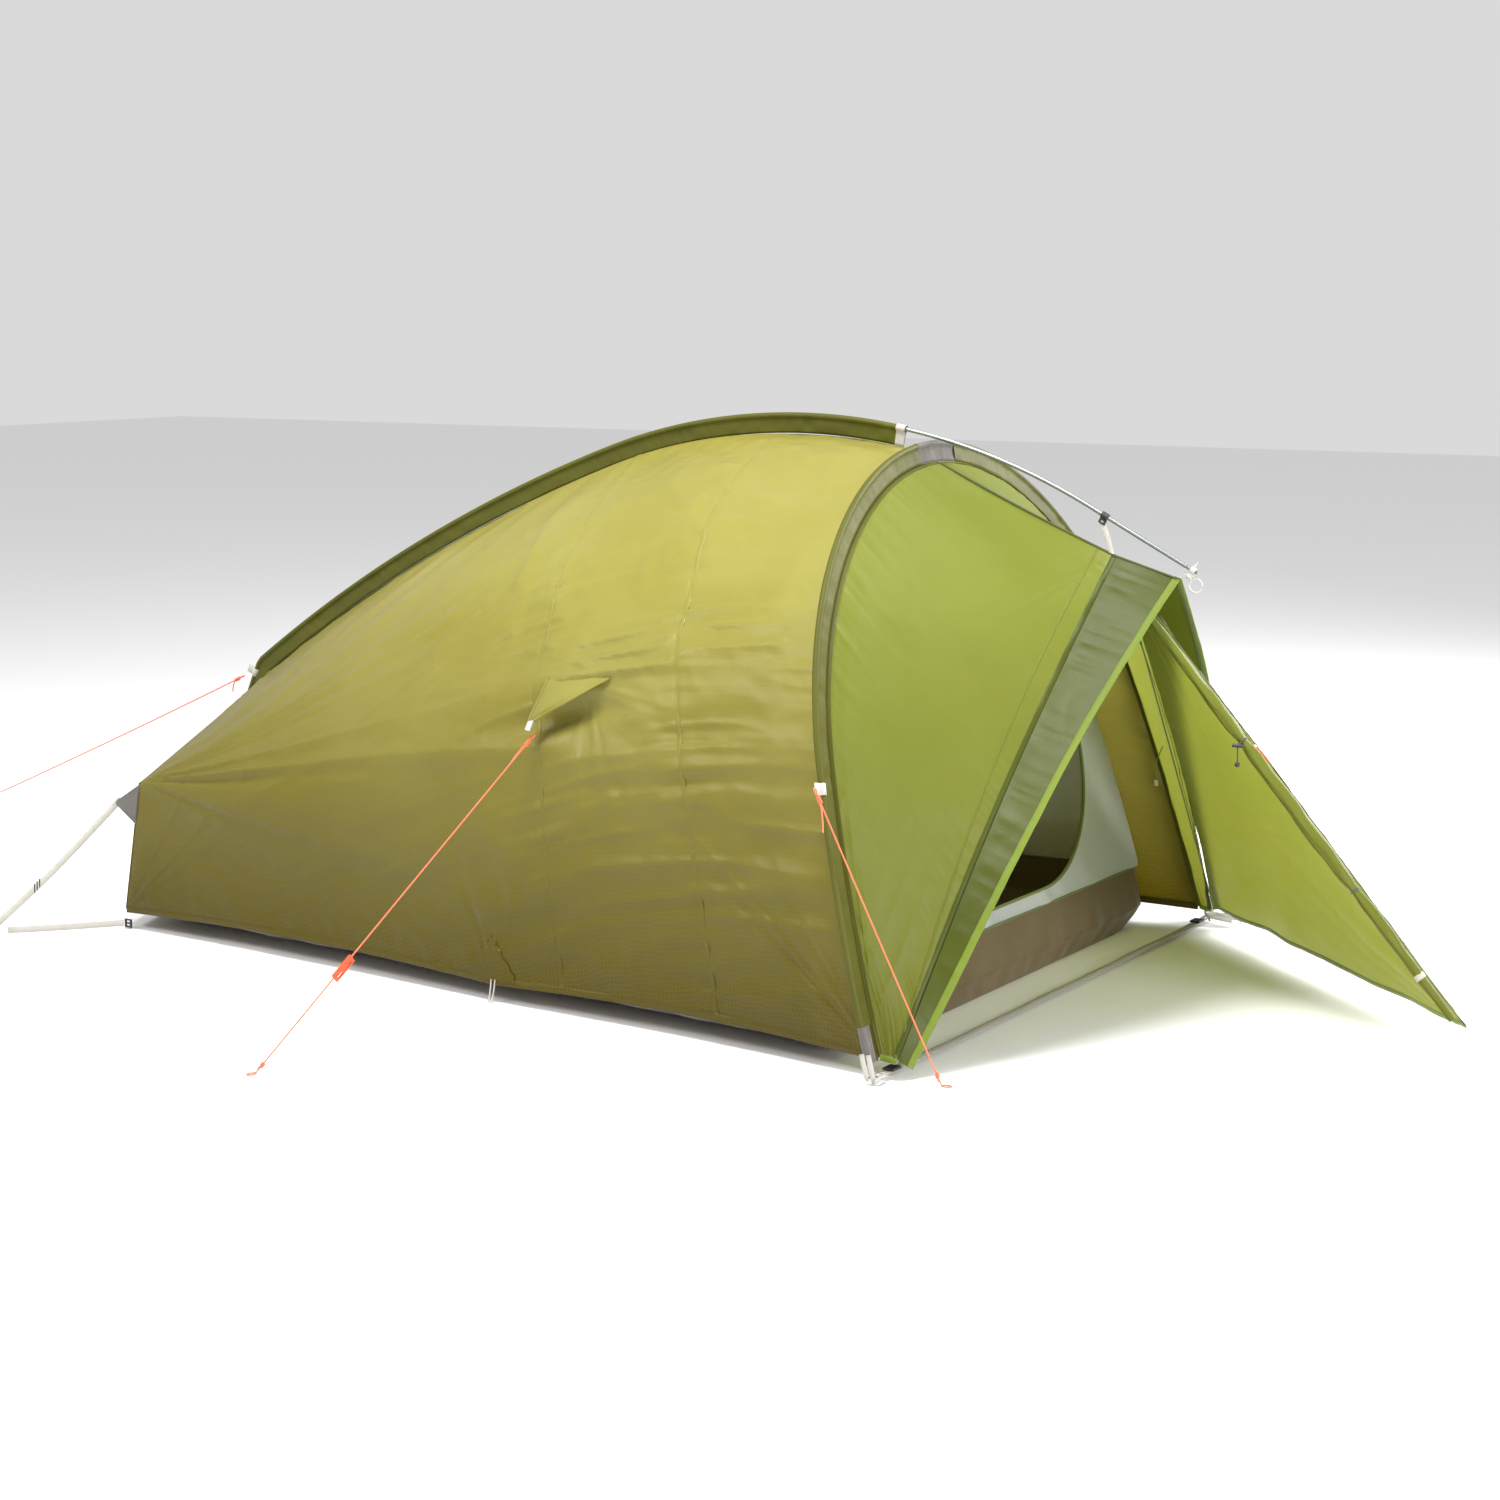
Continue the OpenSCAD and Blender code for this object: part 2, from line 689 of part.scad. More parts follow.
module side_guy_tabs() {
    color(olive) both_sides() sheet(grid(6, 4, function (u, v)
        lerp(lerp(tab_base, tab_front, u) + [0, -3, 0],
            lerp(tab_tip + [-4, 0, 0], tab_tip + [8, 0, 2], u), v)));
}

module side_guy_loops() {
    color(webbing_grey) both_sides()
        strap(tab_tip + unit(tab_out) * 2, tab_tip + unit(tab_out) * 24, [1, 0, 0], 14, 2.4);
}

gusset_tip = [corner_x + 2, corner_y + 20, corner_z - 50];

module rear_corner_gussets() {
    top = corner_top + [-6, 2, -4];
    low = lerp(corner_top, corner_low, 0.33) + [-6, 2, 0];
    color(patch_grey) both_sides() sheet(grid(4, 4, function (u, v)
        lerp(lerp(top, low, v), lerp(gusset_tip + [0, 0, 5], gusset_tip - [0, 0, 5], v), u)));
}

strap_w = 15;
strap_t = 1.5;
peg_point = [corner_x - 190, corner_y + 258, strap_t];
strap_join = lerp(peg_point, gusset_tip, 0.1);
strap_low = [corner_x - 24, corner_y + 6, 12];

module rear_corner_straps() {
    across = [0, 0, 1];
    color(webbing_grey) both_sides() {
        strap(gusset_tip + unit(peg_point - gusset_tip) * 4, peg_point + [0, 0, strap_w / 2], across, strap_w, strap_t);
        strap(strap_low, strap_join + [14, -14, -12], across, strap_w, strap_t);
    }
}

module rear_corner_buckles() {
    color(black) both_sides() translate([corner_x - 2, corner_y + 2, 3]) difference() {
        cube([20, 4, 20], center = false);
        translate([4, -1, 4]) cube([12, 6, 5]);
        translate([4, -1, 12]) cube([12, 6, 5]);
    }
}

hem_loop_x = 118;

module hem_peg_loops() {
    u = (hoop_x - hem_loop_x) / (hoop_x - corner_x);
    p = fly_point(u, 1);
    color(webbing_grey) both_sides() for (k = [-1, 1])
        strap(p + [k * 5, -2, -2], p + [k * 3, -14, 2 - p[2]], [1, 0, 0], 5, 1.5);
}

eyelet_z = 12;
eyelet_t = 3;

module base_strap() {
    reach = hoop_half_w - 34;
    color(webbing_grey) translate([hoop_x - 12, -reach, eyelet_z]) cube([20, 2 * reach, 1.5]);
}

// The webbing tabs whose eyelets take the poles' pins
module foot_grommets() {
    foot_shift = eyelet_z * tan(hoop_lean);
    color(webbing_grey) {
        for (side = [-1, 1]) difference() {
            translate([hoop_x - foot_shift - 12, side > 0 ? hoop_half_w - 33 : -hoop_half_w - 14, eyelet_z])
                cube([24, 47, eyelet_t]);
            in_hoop_plane() translate([0, side * hoop_half_w, -20]) cylinder(r = tip_pin_r + 0.4, h = 60);
        }
        difference() {
            translate([rear_foot_x - 6, -12, 5]) cube([66, 24, eyelet_t]);
            translate(rear_foot) aim(-foot_dir) translate([0, 0, -20]) cylinder(r = tip_pin_r + 0.4, h = 60);
        }
    }
}

module ladder_locks() {
    color(black) both_sides() translate([hoop_x - 14, hoop_half_w - 88, eyelet_z + 2]) difference() {
        cube([24, 32, 4]);
        for (k = [0:2]) translate([3, 4 + 9 * k, -1]) cube([18, 6, 6]);
    }
}

clip_at = ridge_point(215);
clip_dir = [cos(brow_slope), 0, -sin(brow_slope)];
clip_down = [-sin(brow_slope), 0, -cos(brow_slope)];

// A hook that snaps over the brow pole, with an eye for the strap
module brow_clip() {
    color(black) translate(clip_at) aim(clip_dir) {
        difference() {
            translate([0, 0, -8]) cylinder(r = pole_r + 2.4, h = 16);
            translate([0, 0, -9]) cylinder(r = pole_r + 0.2, h = 18);
        }
        rotate([0, 0, 0]) translate([pole_r + 1.4, -2, -8]) difference() {
            cube([12, 4, 16]);
            translate([5, -1, 4]) cube([4, 6, 8]);
        }
    }
}

module brow_strap() {
    a = clip_at + clip_down * (pole_r + 15.6);
    b = clip_at + clip_down * 48 + [-12, 0, 0];
    color(webbing_grey) strap(a, b, clip_dir, 12, 1.5);
}

// A webbing loop at the brow's end, which holds the pole's front pin over the hood
module brow_end_tie() {
    p = ridge_point(-4);
    color(webbing_grey) {
        difference() {
            translate(p) aim(clip_dir) translate([0, 0, -6]) cylinder(r = pole_r + 2.2, h = 12);
            translate(p) aim(clip_dir) translate([0, 0, -7]) cylinder(r = pole_r + 0.3, h = 14);
        }
        strap(p + clip_down * (pole_r + 2.8), hood_top + [6, 0, 2.5], [0, 1, 0], 12, 1.5);
        translate(p + [6, 0, -30]) rotate([90, 0, 0]) rotate_extrude() translate([15, 0]) circle(2.2, $fn = 16);
    }
}

// ---------- inner tent ----------

floor_rear_x = corner_x + 14;
floor_t = 1.2;
inner_front_x = floor_front_x;
inner_drop = 105;

tub_chamfer = [16, 130, 45];

function floor_outline(in_x, in_y, z) = [
    [floor_front_x - in_x - z * tan(hoop_lean), -floor_front_y + in_y],
    [floor_front_x - in_x - z * tan(hoop_lean), floor_front_y - in_y],
    [floor_rear_x + in_x, floor_rear_y - in_y],
    [floor_rear_x + in_x, -floor_rear_y + in_y]
];

module tub_slice(in_x, in_y, z) {
    translate([0, 0, z]) linear_extrude(0.1) polygon(floor_outline(in_x, in_y, z));
}

// The tub's outer shape: its floor turns up in a slope before the wall stands up, and its front
// wall leans back with the inner tent's
module tub_block(inset, h) {
    turn_z = tub_chamfer[2];
    hull() {
        tub_slice(tub_chamfer[0] + inset, tub_chamfer[1] + inset, 0);
        tub_slice(inset, inset, turn_z);
    }
    hull() {
        tub_slice(inset, inset, turn_z);
        tub_slice(inset, inset, h - 0.1);
    }
}

module groundsheet() {
    color(tub_brown) difference() {
        tub_block(0, tub_h);
        translate([0, 0, floor_t]) tub_block(floor_t, tub_h);
    }
}

inner_arch_in = 52;
inner_foot_in = hoop_w / 2 - floor_front_y;
function inner_arch(q) = hoop_flat(q, lerp(inner_arch_in, inner_foot_in, q * q));
inner_hem_q = 1 - (tub_h + 4) / cos(hoop_lean) / hoop_half_l;
inner_rear_top = ridge_rear_low + [42, 0, -62];
inner_corner = [corner_top[0] + 30, corner_top[1] - 42, corner_top[2] - 40];
inner_corner_low = [floor_rear_x + 0.7, floor_rear_y - 0.7, tub_h + 2];

function inner_point(u, v) =
    let (
        front = function (v) let (p = inner_arch(v * inner_hem_q))
            [inner_front_x - 6 - p[1] * sin(hoop_lean), -p[0], p[1] * cos(hoop_lean)],
        rear = function (v) v < knee
            ? lerp(inner_rear_top, flip(inner_corner, -1), v / knee)
            : lerp(flip(inner_corner, -1), flip(inner_corner_low, -1), (v - knee) / (1 - knee)),
        top = function (u) let (
                p = ridge_point(lerp(crossing_l + 60, ridge_l, u), inner_drop),
                shift = lerp(front(0) - ridge_point(crossing_l + 60, inner_drop),
                    inner_rear_top - ridge_point(ridge_l, inner_drop), u)
            ) p + shift,
        bottom = function (u) lerp(front(1), rear(1), u)
    )
    patch(u, v, front, rear, top, bottom) + [0, -1.5, 0];

module inner_half() {
    sheet(grid(12, 9, function (u, v) inner_point(u, v)));
}

module inner_left() {
    color(inner_grey) inner_half();
}

module inner_right() {
    color(inner_grey) mirror([0, 1, 0]) inner_half();
}

module inner_rear() {
    gap = 4;
    color(inner_grey) sheet(grid(8, 6, function (u, v)
        let (
            side = u < 0.5 ? -1 : 1,
            k = abs(2 * u - 1),
            centre = lerp(inner_rear_top - [gap, 0, gap], [floor_rear_x + 0.7, 0, tub_h + 2], v),
            edge = lerp(inner_corner, inner_corner_low, v) - [gap * (1 - v), 0, gap * (1 - v)]
        )
        lerp(centre, flip(edge, side), k)));
}

door_x0 = -330;
door_x1 = 585;
door_low = 168;
door_high = 930;
door_round = 330;

// The inner door's opening: straight on the left, where the door is tied back, and round on the right
module door_shape(out = 0) {
    offset(r = out) intersection() {
        translate([door_x0, door_low]) square([door_x1 - door_x0, door_high - door_low]);
        hull() {
            translate([door_x1 - door_round, door_low + door_round]) circle(door_round, $fn = 48);
            translate([door_x1 - door_round - 130, door_high - door_round]) circle(door_round, $fn = 48);
            translate([door_x0, door_low]) square([10, 10]);
            translate([door_x0, door_high - 160]) square([10, 10]);
        }
    }
}

module inner_front() {
    arch = [for (k = [-20:20]) let (p = inner_arch(abs(k) / 20 * inner_hem_q)) [sign(k) * p[0], p[1]]];
    color(inner_grey) translate([inner_front_x, 0, 0]) rotate([0, -hoop_lean, 0])
        rotate([90, 0, 90]) translate([0, 0, -cloth]) linear_extrude(cloth) difference() {
            polygon(arch);
            door_shape();
        }
}

module in_front_wall() {
    translate([inner_front_x, 0, 0]) rotate([0, -hoop_lean, 0]) rotate([90, 0, 90]) children();
}

// The zip follows the round side of the opening, from the foot of the straight side to its top
module inner_zip() {
    color(lime) in_front_wall() translate([0, 0, (cloth - zip_t) / 2 - cloth]) linear_extrude(zip_t)
        difference() {
            door_shape();
            door_shape(-zip_w);
            translate([door_x0 - 20, door_low - 20]) square([24 + zip_w, door_high]);
        }
}

module inner_door_rolled() {
    color(inner_grey) in_front_wall() swept(
        [for (k = [0:10]) [door_x0 - 30, lerp(door_low + 20, door_high - 190, k / 10), 26]],
        [for (k = [0:10]) 12 + 8 * sin(18 * k)], 12);
}

hanger_spots = [[0.22, 0.12], [0.5, 0.1], [0.78, 0.1], [0.25, 0.62], [0.75, 0.6]];

// Elastic hangers with a bead at each end hold the inner tent under the fly
module inner_hangers() {
    color(black) both_sides() for (s = hanger_spots) {
        a = inner_point(s[0], s[1]);
        b = fly_point(s[0], s[1]);
        d = unit(b - a);
        translate(a + d * 8) aim(b - a) cylinder(r = 2, h = norm(b - a) - 24);
    }
}

// ---------- zips and sliders ----------

zip_w = 6;
zip_t = 1.6;
zip_shift = [-6, 6, -4];
fly_zip_a = door_hinge(0.04) + zip_shift;
fly_zip_b = door_hinge(0.98) + zip_shift;
centre_zip_a = door_centre(0.06) + [0, -9, 0];
centre_zip_b = door_centre(0.95) + [0, -9, 0];
across_hinge = door_tip - door_hinge(0);

module fly_zip() {
    color(dark_olive) strap(fly_zip_a, fly_zip_b, across_hinge, zip_w, zip_t);
}

module centre_zip() {
    color(dark_olive) strap(centre_zip_a, centre_zip_b, [0, 1, 0], zip_w, zip_t);
}

// A slider wraps the zip from one side and leaves the other side's tape free; a cord pull hangs
// from its outer face.
module slider() {
    difference() {
        translate([-7, -zip_w / 2 - 2, -3]) cube([14, zip_w + 1.6, 6]);
        translate([-8, -zip_w / 2 - 0.4, -zip_t / 2 - 0.4]) cube([16, zip_w + 4, zip_t + 0.8]);
    }
    translate([-1, -2, 2.9]) cube([14, 3, 3]);
    translate([10, -0.5, 4.4]) rotate([0, 90, 0]) cylinder(r = 2, h = 26);
}

fly_slider_at = 0.1;

module fly_zip_slider() {
    color(signal_orange) on_line(lerp(fly_zip_a, fly_zip_b, fly_slider_at), fly_zip_b,
        across_hinge) mirror([0, 0, 1]) slider();
}

centre_slider_at = 0.36;

module centre_zip_slider() {
    color(signal_orange) on_line(lerp(centre_zip_a, centre_zip_b, centre_slider_at), centre_zip_b,
        [0, 1, 0]) slider();
}

inner_slider_x = -120;

module inner_zip_slider() {
    color(signal_orange) in_front_wall() translate([inner_slider_x, door_low + zip_w / 2, -cloth / 2])
        rotate([180, 0, 0]) mirror([0, 0, 1]) slider();
}

// ---------- guylines ----------

// A line under tension from a to b, with a slight sag
function taut(a, b, sag, steps) = [for (k = [0:steps])
    lerp(a, b, k / steps) - [0, 0, 4 * sag * k / steps * (1 - k / steps)]];

rear_guy_route = taut([-1166, 0, 510], [-2356, 0, 5], 6, 24);
side_guy_top = tab_tip + unit(tab_out) * 25;
side_guy_route = taut(side_guy_top, [68, -1363, 5], 0.1, 20);
hoop_guy_route = taut([955, -792, 535], [1208, -762, 5], 2, 16);
guy_r = 1.5;

module guyline(route) {
    color(signal_orange) swept(route, [for (p = route) guy_r], 8);
}

module guyline_rear() {
    guyline(rear_guy_route);
}

module guyline_side() {
    guyline(side_guy_route);
}

module guyline_hoop() {
    guyline(hoop_guy_route);
}

runner_step = 14;
tensioner_at = side_guy_route[runner_step];
tensioner_dir = unit(side_guy_route[runner_step + 1] - side_guy_route[runner_step - 1]);

// A three-hole runner: the line passes its end holes, and slides when the runner is tipped
module guyline_tensioner() {
    color(signal_orange) translate(tensioner_at) aim(tensioner_dir) difference() {
        translate([-6, -2.5, -28]) cube([17, 5, 56]);
        translate([0, 0, -30]) cylinder(r = guy_r + 0.35, h = 60);
        for (k = [-1, 1]) translate([3.5, -4, k * 14 - 8]) cube([5, 8, 16]);
    }
}

ridge_pole_foot();
ridge_pole_elbow();
ridge_pole_rear();
ridge_pole_crown();
ridge_pole_brow();
hoop_pole();
pole_ferrules();
pole_tips();
shock_cords();
fly_left();
fly_right();
fly_rear();
ridge_sleeve();
hoop_sleeve();
crossing_patch();
hoop_foot_pockets();
vestibule_left();
vestibule_right();
hood_left();
hood_right();
door_right();
door_left_rolled();
door_tip_loop();
door_ties();
door_toggle();
sleeve_end_band();
rear_guy_loop();
hoop_guy_loops();
side_guy_tabs();
side_guy_loops();
rear_corner_gussets();
rear_corner_straps();
rear_corner_buckles();
hem_peg_loops();
base_strap();
foot_grommets();
ladder_locks();
brow_clip();
brow_strap();
brow_end_tie();
groundsheet();
inner_left();
inner_right();
inner_rear();
inner_front();
inner_door_rolled();
inner_hangers();
fly_zip();
centre_zip();
inner_zip();
fly_zip_slider();
centre_zip_slider();
inner_zip_slider();
guyline_rear();
guyline_side();
guyline_hoop();
guyline_tensioner();
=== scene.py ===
import json
import math
import bpy
import numpy as np
from mathutils.bvhtree import BVHTree
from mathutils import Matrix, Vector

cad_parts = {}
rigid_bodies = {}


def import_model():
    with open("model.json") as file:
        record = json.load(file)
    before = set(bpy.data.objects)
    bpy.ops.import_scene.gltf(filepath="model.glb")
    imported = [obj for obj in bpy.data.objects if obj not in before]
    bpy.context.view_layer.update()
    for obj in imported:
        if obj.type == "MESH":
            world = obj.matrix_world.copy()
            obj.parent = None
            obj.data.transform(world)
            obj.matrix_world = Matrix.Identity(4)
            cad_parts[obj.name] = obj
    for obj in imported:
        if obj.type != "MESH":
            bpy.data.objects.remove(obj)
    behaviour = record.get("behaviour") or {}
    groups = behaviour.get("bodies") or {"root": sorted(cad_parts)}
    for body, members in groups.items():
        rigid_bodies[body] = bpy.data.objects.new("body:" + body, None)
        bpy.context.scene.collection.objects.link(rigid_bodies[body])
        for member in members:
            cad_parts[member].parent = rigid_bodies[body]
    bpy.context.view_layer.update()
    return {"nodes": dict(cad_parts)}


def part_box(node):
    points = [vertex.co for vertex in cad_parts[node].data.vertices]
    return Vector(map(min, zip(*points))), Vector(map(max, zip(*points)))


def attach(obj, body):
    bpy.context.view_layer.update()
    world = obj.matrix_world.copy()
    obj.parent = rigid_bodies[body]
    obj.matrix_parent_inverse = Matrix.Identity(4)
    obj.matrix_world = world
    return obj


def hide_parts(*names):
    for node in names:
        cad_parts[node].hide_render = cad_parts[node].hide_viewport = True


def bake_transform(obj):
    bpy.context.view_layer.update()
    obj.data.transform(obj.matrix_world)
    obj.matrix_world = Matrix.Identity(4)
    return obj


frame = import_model()
nodes = frame["nodes"]

# ---------- camera ----------


def add_camera():
    """A camera at the height of a standing person, a few metres from the entrance side."""
    data = bpy.data.cameras.new("camera")
    data.sensor_width = 36.0
    data.lens = 67.2
    data.clip_end = 100.0
    obj = bpy.data.objects.new("camera", data)
    obj.location = (3.535, -5.219, 1.453)
    obj.rotation_euler = (math.radians(80.74), 0.0, math.radians(31.62))
    bpy.context.scene.collection.objects.link(obj)
    bpy.context.scene.camera = obj


add_camera()

# ---------- dimensions, in metres ----------

POLE_R = 0.0045
hoop_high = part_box("hoop_pole")[1]
tips_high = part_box("pole_tips")[1]
strap_low, strap_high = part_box("base_strap")
tub_low, tub_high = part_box("groundsheet")

HOOP_LEAN = math.radians(15.5)
HOOP_CROWN_R = 0.759
HOOP_HALF = tips_high.y - POLE_R
HOOP_TOP_Z = hoop_high.z - POLE_R
HOOP_X = 1.090
HOOP_S = HOOP_TOP_Z / math.cos(HOOP_LEAN)
HOOP_SIDE_R = (HOOP_HALF**2 + HOOP_S**2 - 2 * HOOP_S * HOOP_CROWN_R) / (2 * (HOOP_HALF - HOOP_CROWN_R))
HOOP_JOIN = math.atan2(HOOP_S - HOOP_CROWN_R, HOOP_SIDE_R - HOOP_HALF)
HOOP_CROWN_L = HOOP_CROWN_R * (math.pi / 2 - HOOP_JOIN)
HOOP_L = HOOP_CROWN_L + HOOP_SIDE_R * HOOP_JOIN

RIDGE_X = 0.447
RIDGE_R = 1.480
REAR_R = 4.200
BROW_SLOPE = math.radians(27.5)
CROWN_SLOPE = math.radians(19.5)
BROW_L = 0.258
REAR_L = 1.196
CROWN_L = RIDGE_R * (BROW_SLOPE + CROWN_SLOPE)
RIDGE_L = BROW_L + CROWN_L + REAR_L
HOOP_TOP_X = HOOP_X - HOOP_S * math.sin(HOOP_LEAN)
CROSSING = math.asin((HOOP_TOP_X - RIDGE_X) / RIDGE_R)
CROSSING_L = BROW_L + RIDGE_R * (BROW_SLOPE - CROSSING)
RIDGE_CZ = HOOP_TOP_Z + 0.015 - RIDGE_R * math.cos(CROSSING)

FIN = 0.038
SEAM = 0.002
HEM_Z = 0.045
CORNER = np.array([-1.022, 0.573, HEM_Z])
CORNER_TOP = CORNER + [0.052, -0.003, 0.303]
KNEE = 2 / 3
REAR_FOOT = np.array([-1.350, 0.0, 0.0])
UP = np.array([0, 0, 1.0])

# ---------- curves ----------


def lerp(a, b, t):
    """A value between a and b, where t is 0 at a and 1 at b."""
    return a + (b - a) * t


def unit(v):
    """Vectors scaled to length one."""
    v = np.asarray(v, float)
    return v / np.maximum(np.linalg.norm(v, axis=-1, keepdims=True), 1e-12)


def column(t):
    """Numbers with one more axis, so that each can multiply a point."""
    return np.asarray(t, float)[..., None]


def hoop_point(q, side, off=0.0, dx=0.0):
    """A point on the leaning hoop: q is 0 at its top and 1 at its foot, off is the distance inside."""
    length = np.abs(np.asarray(q, float)) * HOOP_L
    crown = math.pi / 2 - length / HOOP_CROWN_R
    flank = HOOP_JOIN - (length - HOOP_CROWN_L) / HOOP_SIDE_R
    on_crown = length < HOOP_CROWN_L
    y = np.where(on_crown, (HOOP_CROWN_R - off) * np.cos(crown),
                 HOOP_HALF - HOOP_SIDE_R + (HOOP_SIDE_R - off) * np.cos(flank))
    s = np.where(on_crown, HOOP_S - HOOP_CROWN_R + (HOOP_CROWN_R - off) * np.sin(crown),
                 (HOOP_SIDE_R - off) * np.sin(flank))
    return np.stack([HOOP_X + dx - s * math.sin(HOOP_LEAN), side * y, s * math.cos(HOOP_LEAN)], -1)


def ridge_point(length, off=0.0, y=0.0):
    """A point on the ridge pole at a length from the brow's end, off below its axis."""
    length = np.asarray(length, float)
    off = np.asarray(off, float)
    brow = np.clip(BROW_L - length, 0, None)
    crown = -BROW_SLOPE + (np.clip(length, BROW_L, BROW_L + CROWN_L) - BROW_L) / RIDGE_R
    rear = CROWN_SLOPE + (length - BROW_L - CROWN_L) / REAR_R
    behind = length > BROW_L + CROWN_L
    rear_x = RIDGE_X + (REAR_R - RIDGE_R) * math.sin(CROWN_SLOPE)
    rear_z = RIDGE_CZ - (REAR_R - RIDGE_R) * math.cos(CROWN_SLOPE)
    x = np.where(behind, rear_x - (REAR_R - off) * np.sin(rear),
                 RIDGE_X - (RIDGE_R - off) * np.sin(crown) + brow * math.cos(BROW_SLOPE))
    z = np.where(behind, rear_z + (REAR_R - off) * np.cos(rear),
                 RIDGE_CZ + (RIDGE_R - off) * np.cos(crown) - brow * math.sin(BROW_SLOPE))
    return np.stack([x, np.broadcast_to(y, x.shape), z], -1)


REAR_SLOPE = CROWN_SLOPE + REAR_L / REAR_R
ELBOW = ridge_point(RIDGE_L)
FOOT_DIR = unit(REAR_FOOT - ELBOW)
FIN_FOOT = FIN + SEAM
RIDGE_REAR_LOW = ELBOW + FIN_FOOT * np.array([math.sin(REAR_SLOPE), 0, -math.cos(REAR_SLOPE)])
HEM_Q = 1 - HEM_Z / HOOP_L


def patch(n, m, front, rear, top, bottom):
    """A grid that meets four edges. Rows run from front to rear, columns from top to bottom."""
    u = np.linspace(0, 1, n)
    v = np.linspace(0, 1, m)
    f, r, t, b = front(v), rear(v), top(u), bottom(u)
    uu, vv = u[:, None, None], v[None, :, None]
    ruled = lerp(f[None], r[None], uu) + lerp(t[:, None], b[:, None], vv)
    corners = lerp(lerp(f[0], r[0], uu), lerp(f[-1], r[-1], uu), vv)
    return ruled - corners


def fractions(n, m):
    """Two arrays from 0 to 1, one down the rows and one along the columns of an n by m grid."""
    return np.linspace(0, 1, n)[:, None], np.linspace(0, 1, m)[None, :]


def mirrored(points, side):
    """Points given for the left side (-Y), moved to the right when side is 1."""
    return points * np.array([1.0, -float(side), 1.0])


# ---------- meshes ----------


def smooth_noise(x, seed, period=256):
    """One-dimensional noise from -1 to 1 with features about one unit long."""
    table = np.random.default_rng(seed).uniform(-1, 1, period)
    i = np.floor(x).astype(int)
    f = x - i
    f = f * f * (3 - 2 * f)
    return lerp(table[i % period], table[(i + 1) % period], f)


def noise2(a, b, seed, period=64):
    """Two-dimensional noise from -1 to 1."""
    table = np.random.default_rng(seed).uniform(-1, 1, (period, period))
    i, j = np.floor(a).astype(int), np.floor(b).astype(int)
    f, g = a - i, b - j
    f, g = f * f * (3 - 2 * f), g * g * (3 - 2 * g)
    i, j = i % period, j % period
    i1, j1 = (i + 1) % period, (j + 1) % period
    return lerp(lerp(table[i, j], table[i1, j], f), lerp(table[i, j1], table[i1, j1], f), g)


def grid_normals(g):
    """The unit normal at each point of a grid."""
    du = np.gradient(g, axis=0)
    dv = np.gradient(g, axis=1)
    return unit(np.cross(du, dv))


def running_length(points, axis=0):
    """The length from the first point to each point, along one axis of a line or grid."""
    steps = np.linalg.norm(np.diff(points, axis=axis), axis=-1)
    return np.insert(np.cumsum(steps, axis), 0, 0, axis)


def arc_lengths(g):
    """Two arrays that give each grid point its length along the rows and along the columns."""
    return running_length(g, 0), running_length(g, 1)


def from_edge(along, down):
    """How far each point of a cloth lies from the nearest of its four edges."""
    across = np.minimum(along, along[-1:] - along)
    return np.minimum(np.minimum(down, down[:, -1:] - down), across)


def refine(g, times):
    """Cubic interpolation of a grid to times as many cells each way."""
    for axis in (0, 1):
        g = np.moveaxis(g, axis, 0)
        n = len(g)
        pad = np.concatenate([2 * g[:1] - g[1:2], g, 2 * g[-1:] - g[-2:-1]])
        t = np.linspace(0, n - 1, (n - 1) * times + 1)
        i = np.minimum(t.astype(int), n - 2)
        f = (t - i).reshape(-1, *[1] * (g.ndim - 1))
        a, b, c, d = pad[i], pad[i + 1], pad[i + 2], pad[i + 3]
        g = b + 0.5 * f * (c - a + f * (2 * a - 5 * b + 4 * c - d + f * (3 * (b - c) + d - a)))
        g = np.moveaxis(g, 0, axis)
    return g


def grid_area(g):
    """The area of the cloth that a grid spans."""
    a = g[1:, :-1] - g[:-1, :-1]
    b = g[:-1, 1:] - g[:-1, :-1]
    return float(np.linalg.norm(np.cross(a, b), axis=-1).sum())


def add_mesh(name, points, faces, material, uvs):
    """A smooth-shaded mesh object with one material and one UV map."""
    mesh = bpy.data.meshes.new(name)
    mesh.from_pydata(np.asarray(points).reshape(-1, 3).tolist(), [], faces)
    mesh.update()
    layer = mesh.uv_layers.new(name="UVMap")
    loops = np.zeros(len(mesh.loops), np.int32)
    mesh.loops.foreach_get("vertex_index", loops)
    layer.data.foreach_set("uv", np.asarray(uvs, np.float32)[loops].ravel())
    mesh.shade_smooth()
    mesh.materials.append(material)
    obj = bpy.data.objects.new(name, mesh)
    bpy.context.scene.collection.objects.link(obj)
    return obj


def grid_faces(n, m, wrap=False):
    """The quads of a grid. With wrap its last column joins its first."""
    k = m if wrap else m - 1
    i, j = np.meshgrid(np.arange(n - 1), np.arange(k), indexing="ij")
    a = i * m + j
    b = i * m + (j + 1) % m
    return np.stack([a, a + m, b + m, b], -1).reshape(-1, 4).tolist()


def cloth_mesh(name, g, material, flip=False):
    """One sheet of cloth from a grid of points, with UVs in metres."""
    along, down = arc_lengths(g)
    faces = grid_faces(*g.shape[:2])
    if flip:
        faces = [f[::-1] for f in faces]
    return add_mesh(name, g, faces, material, np.stack([along, down], -1).reshape(-1, 2))


def declare_sheet(obj, g):
    """Works out a cloth's flat size, measured over its surface, and its area, but keeps neither and returns
    the object as it was.
    """
    along, down = arc_lengths(g)
    flat = (float(along[-1].max()), float(down[:, -1].max()))
    area = min(grid_area(g), flat[0] * flat[1])
    return obj


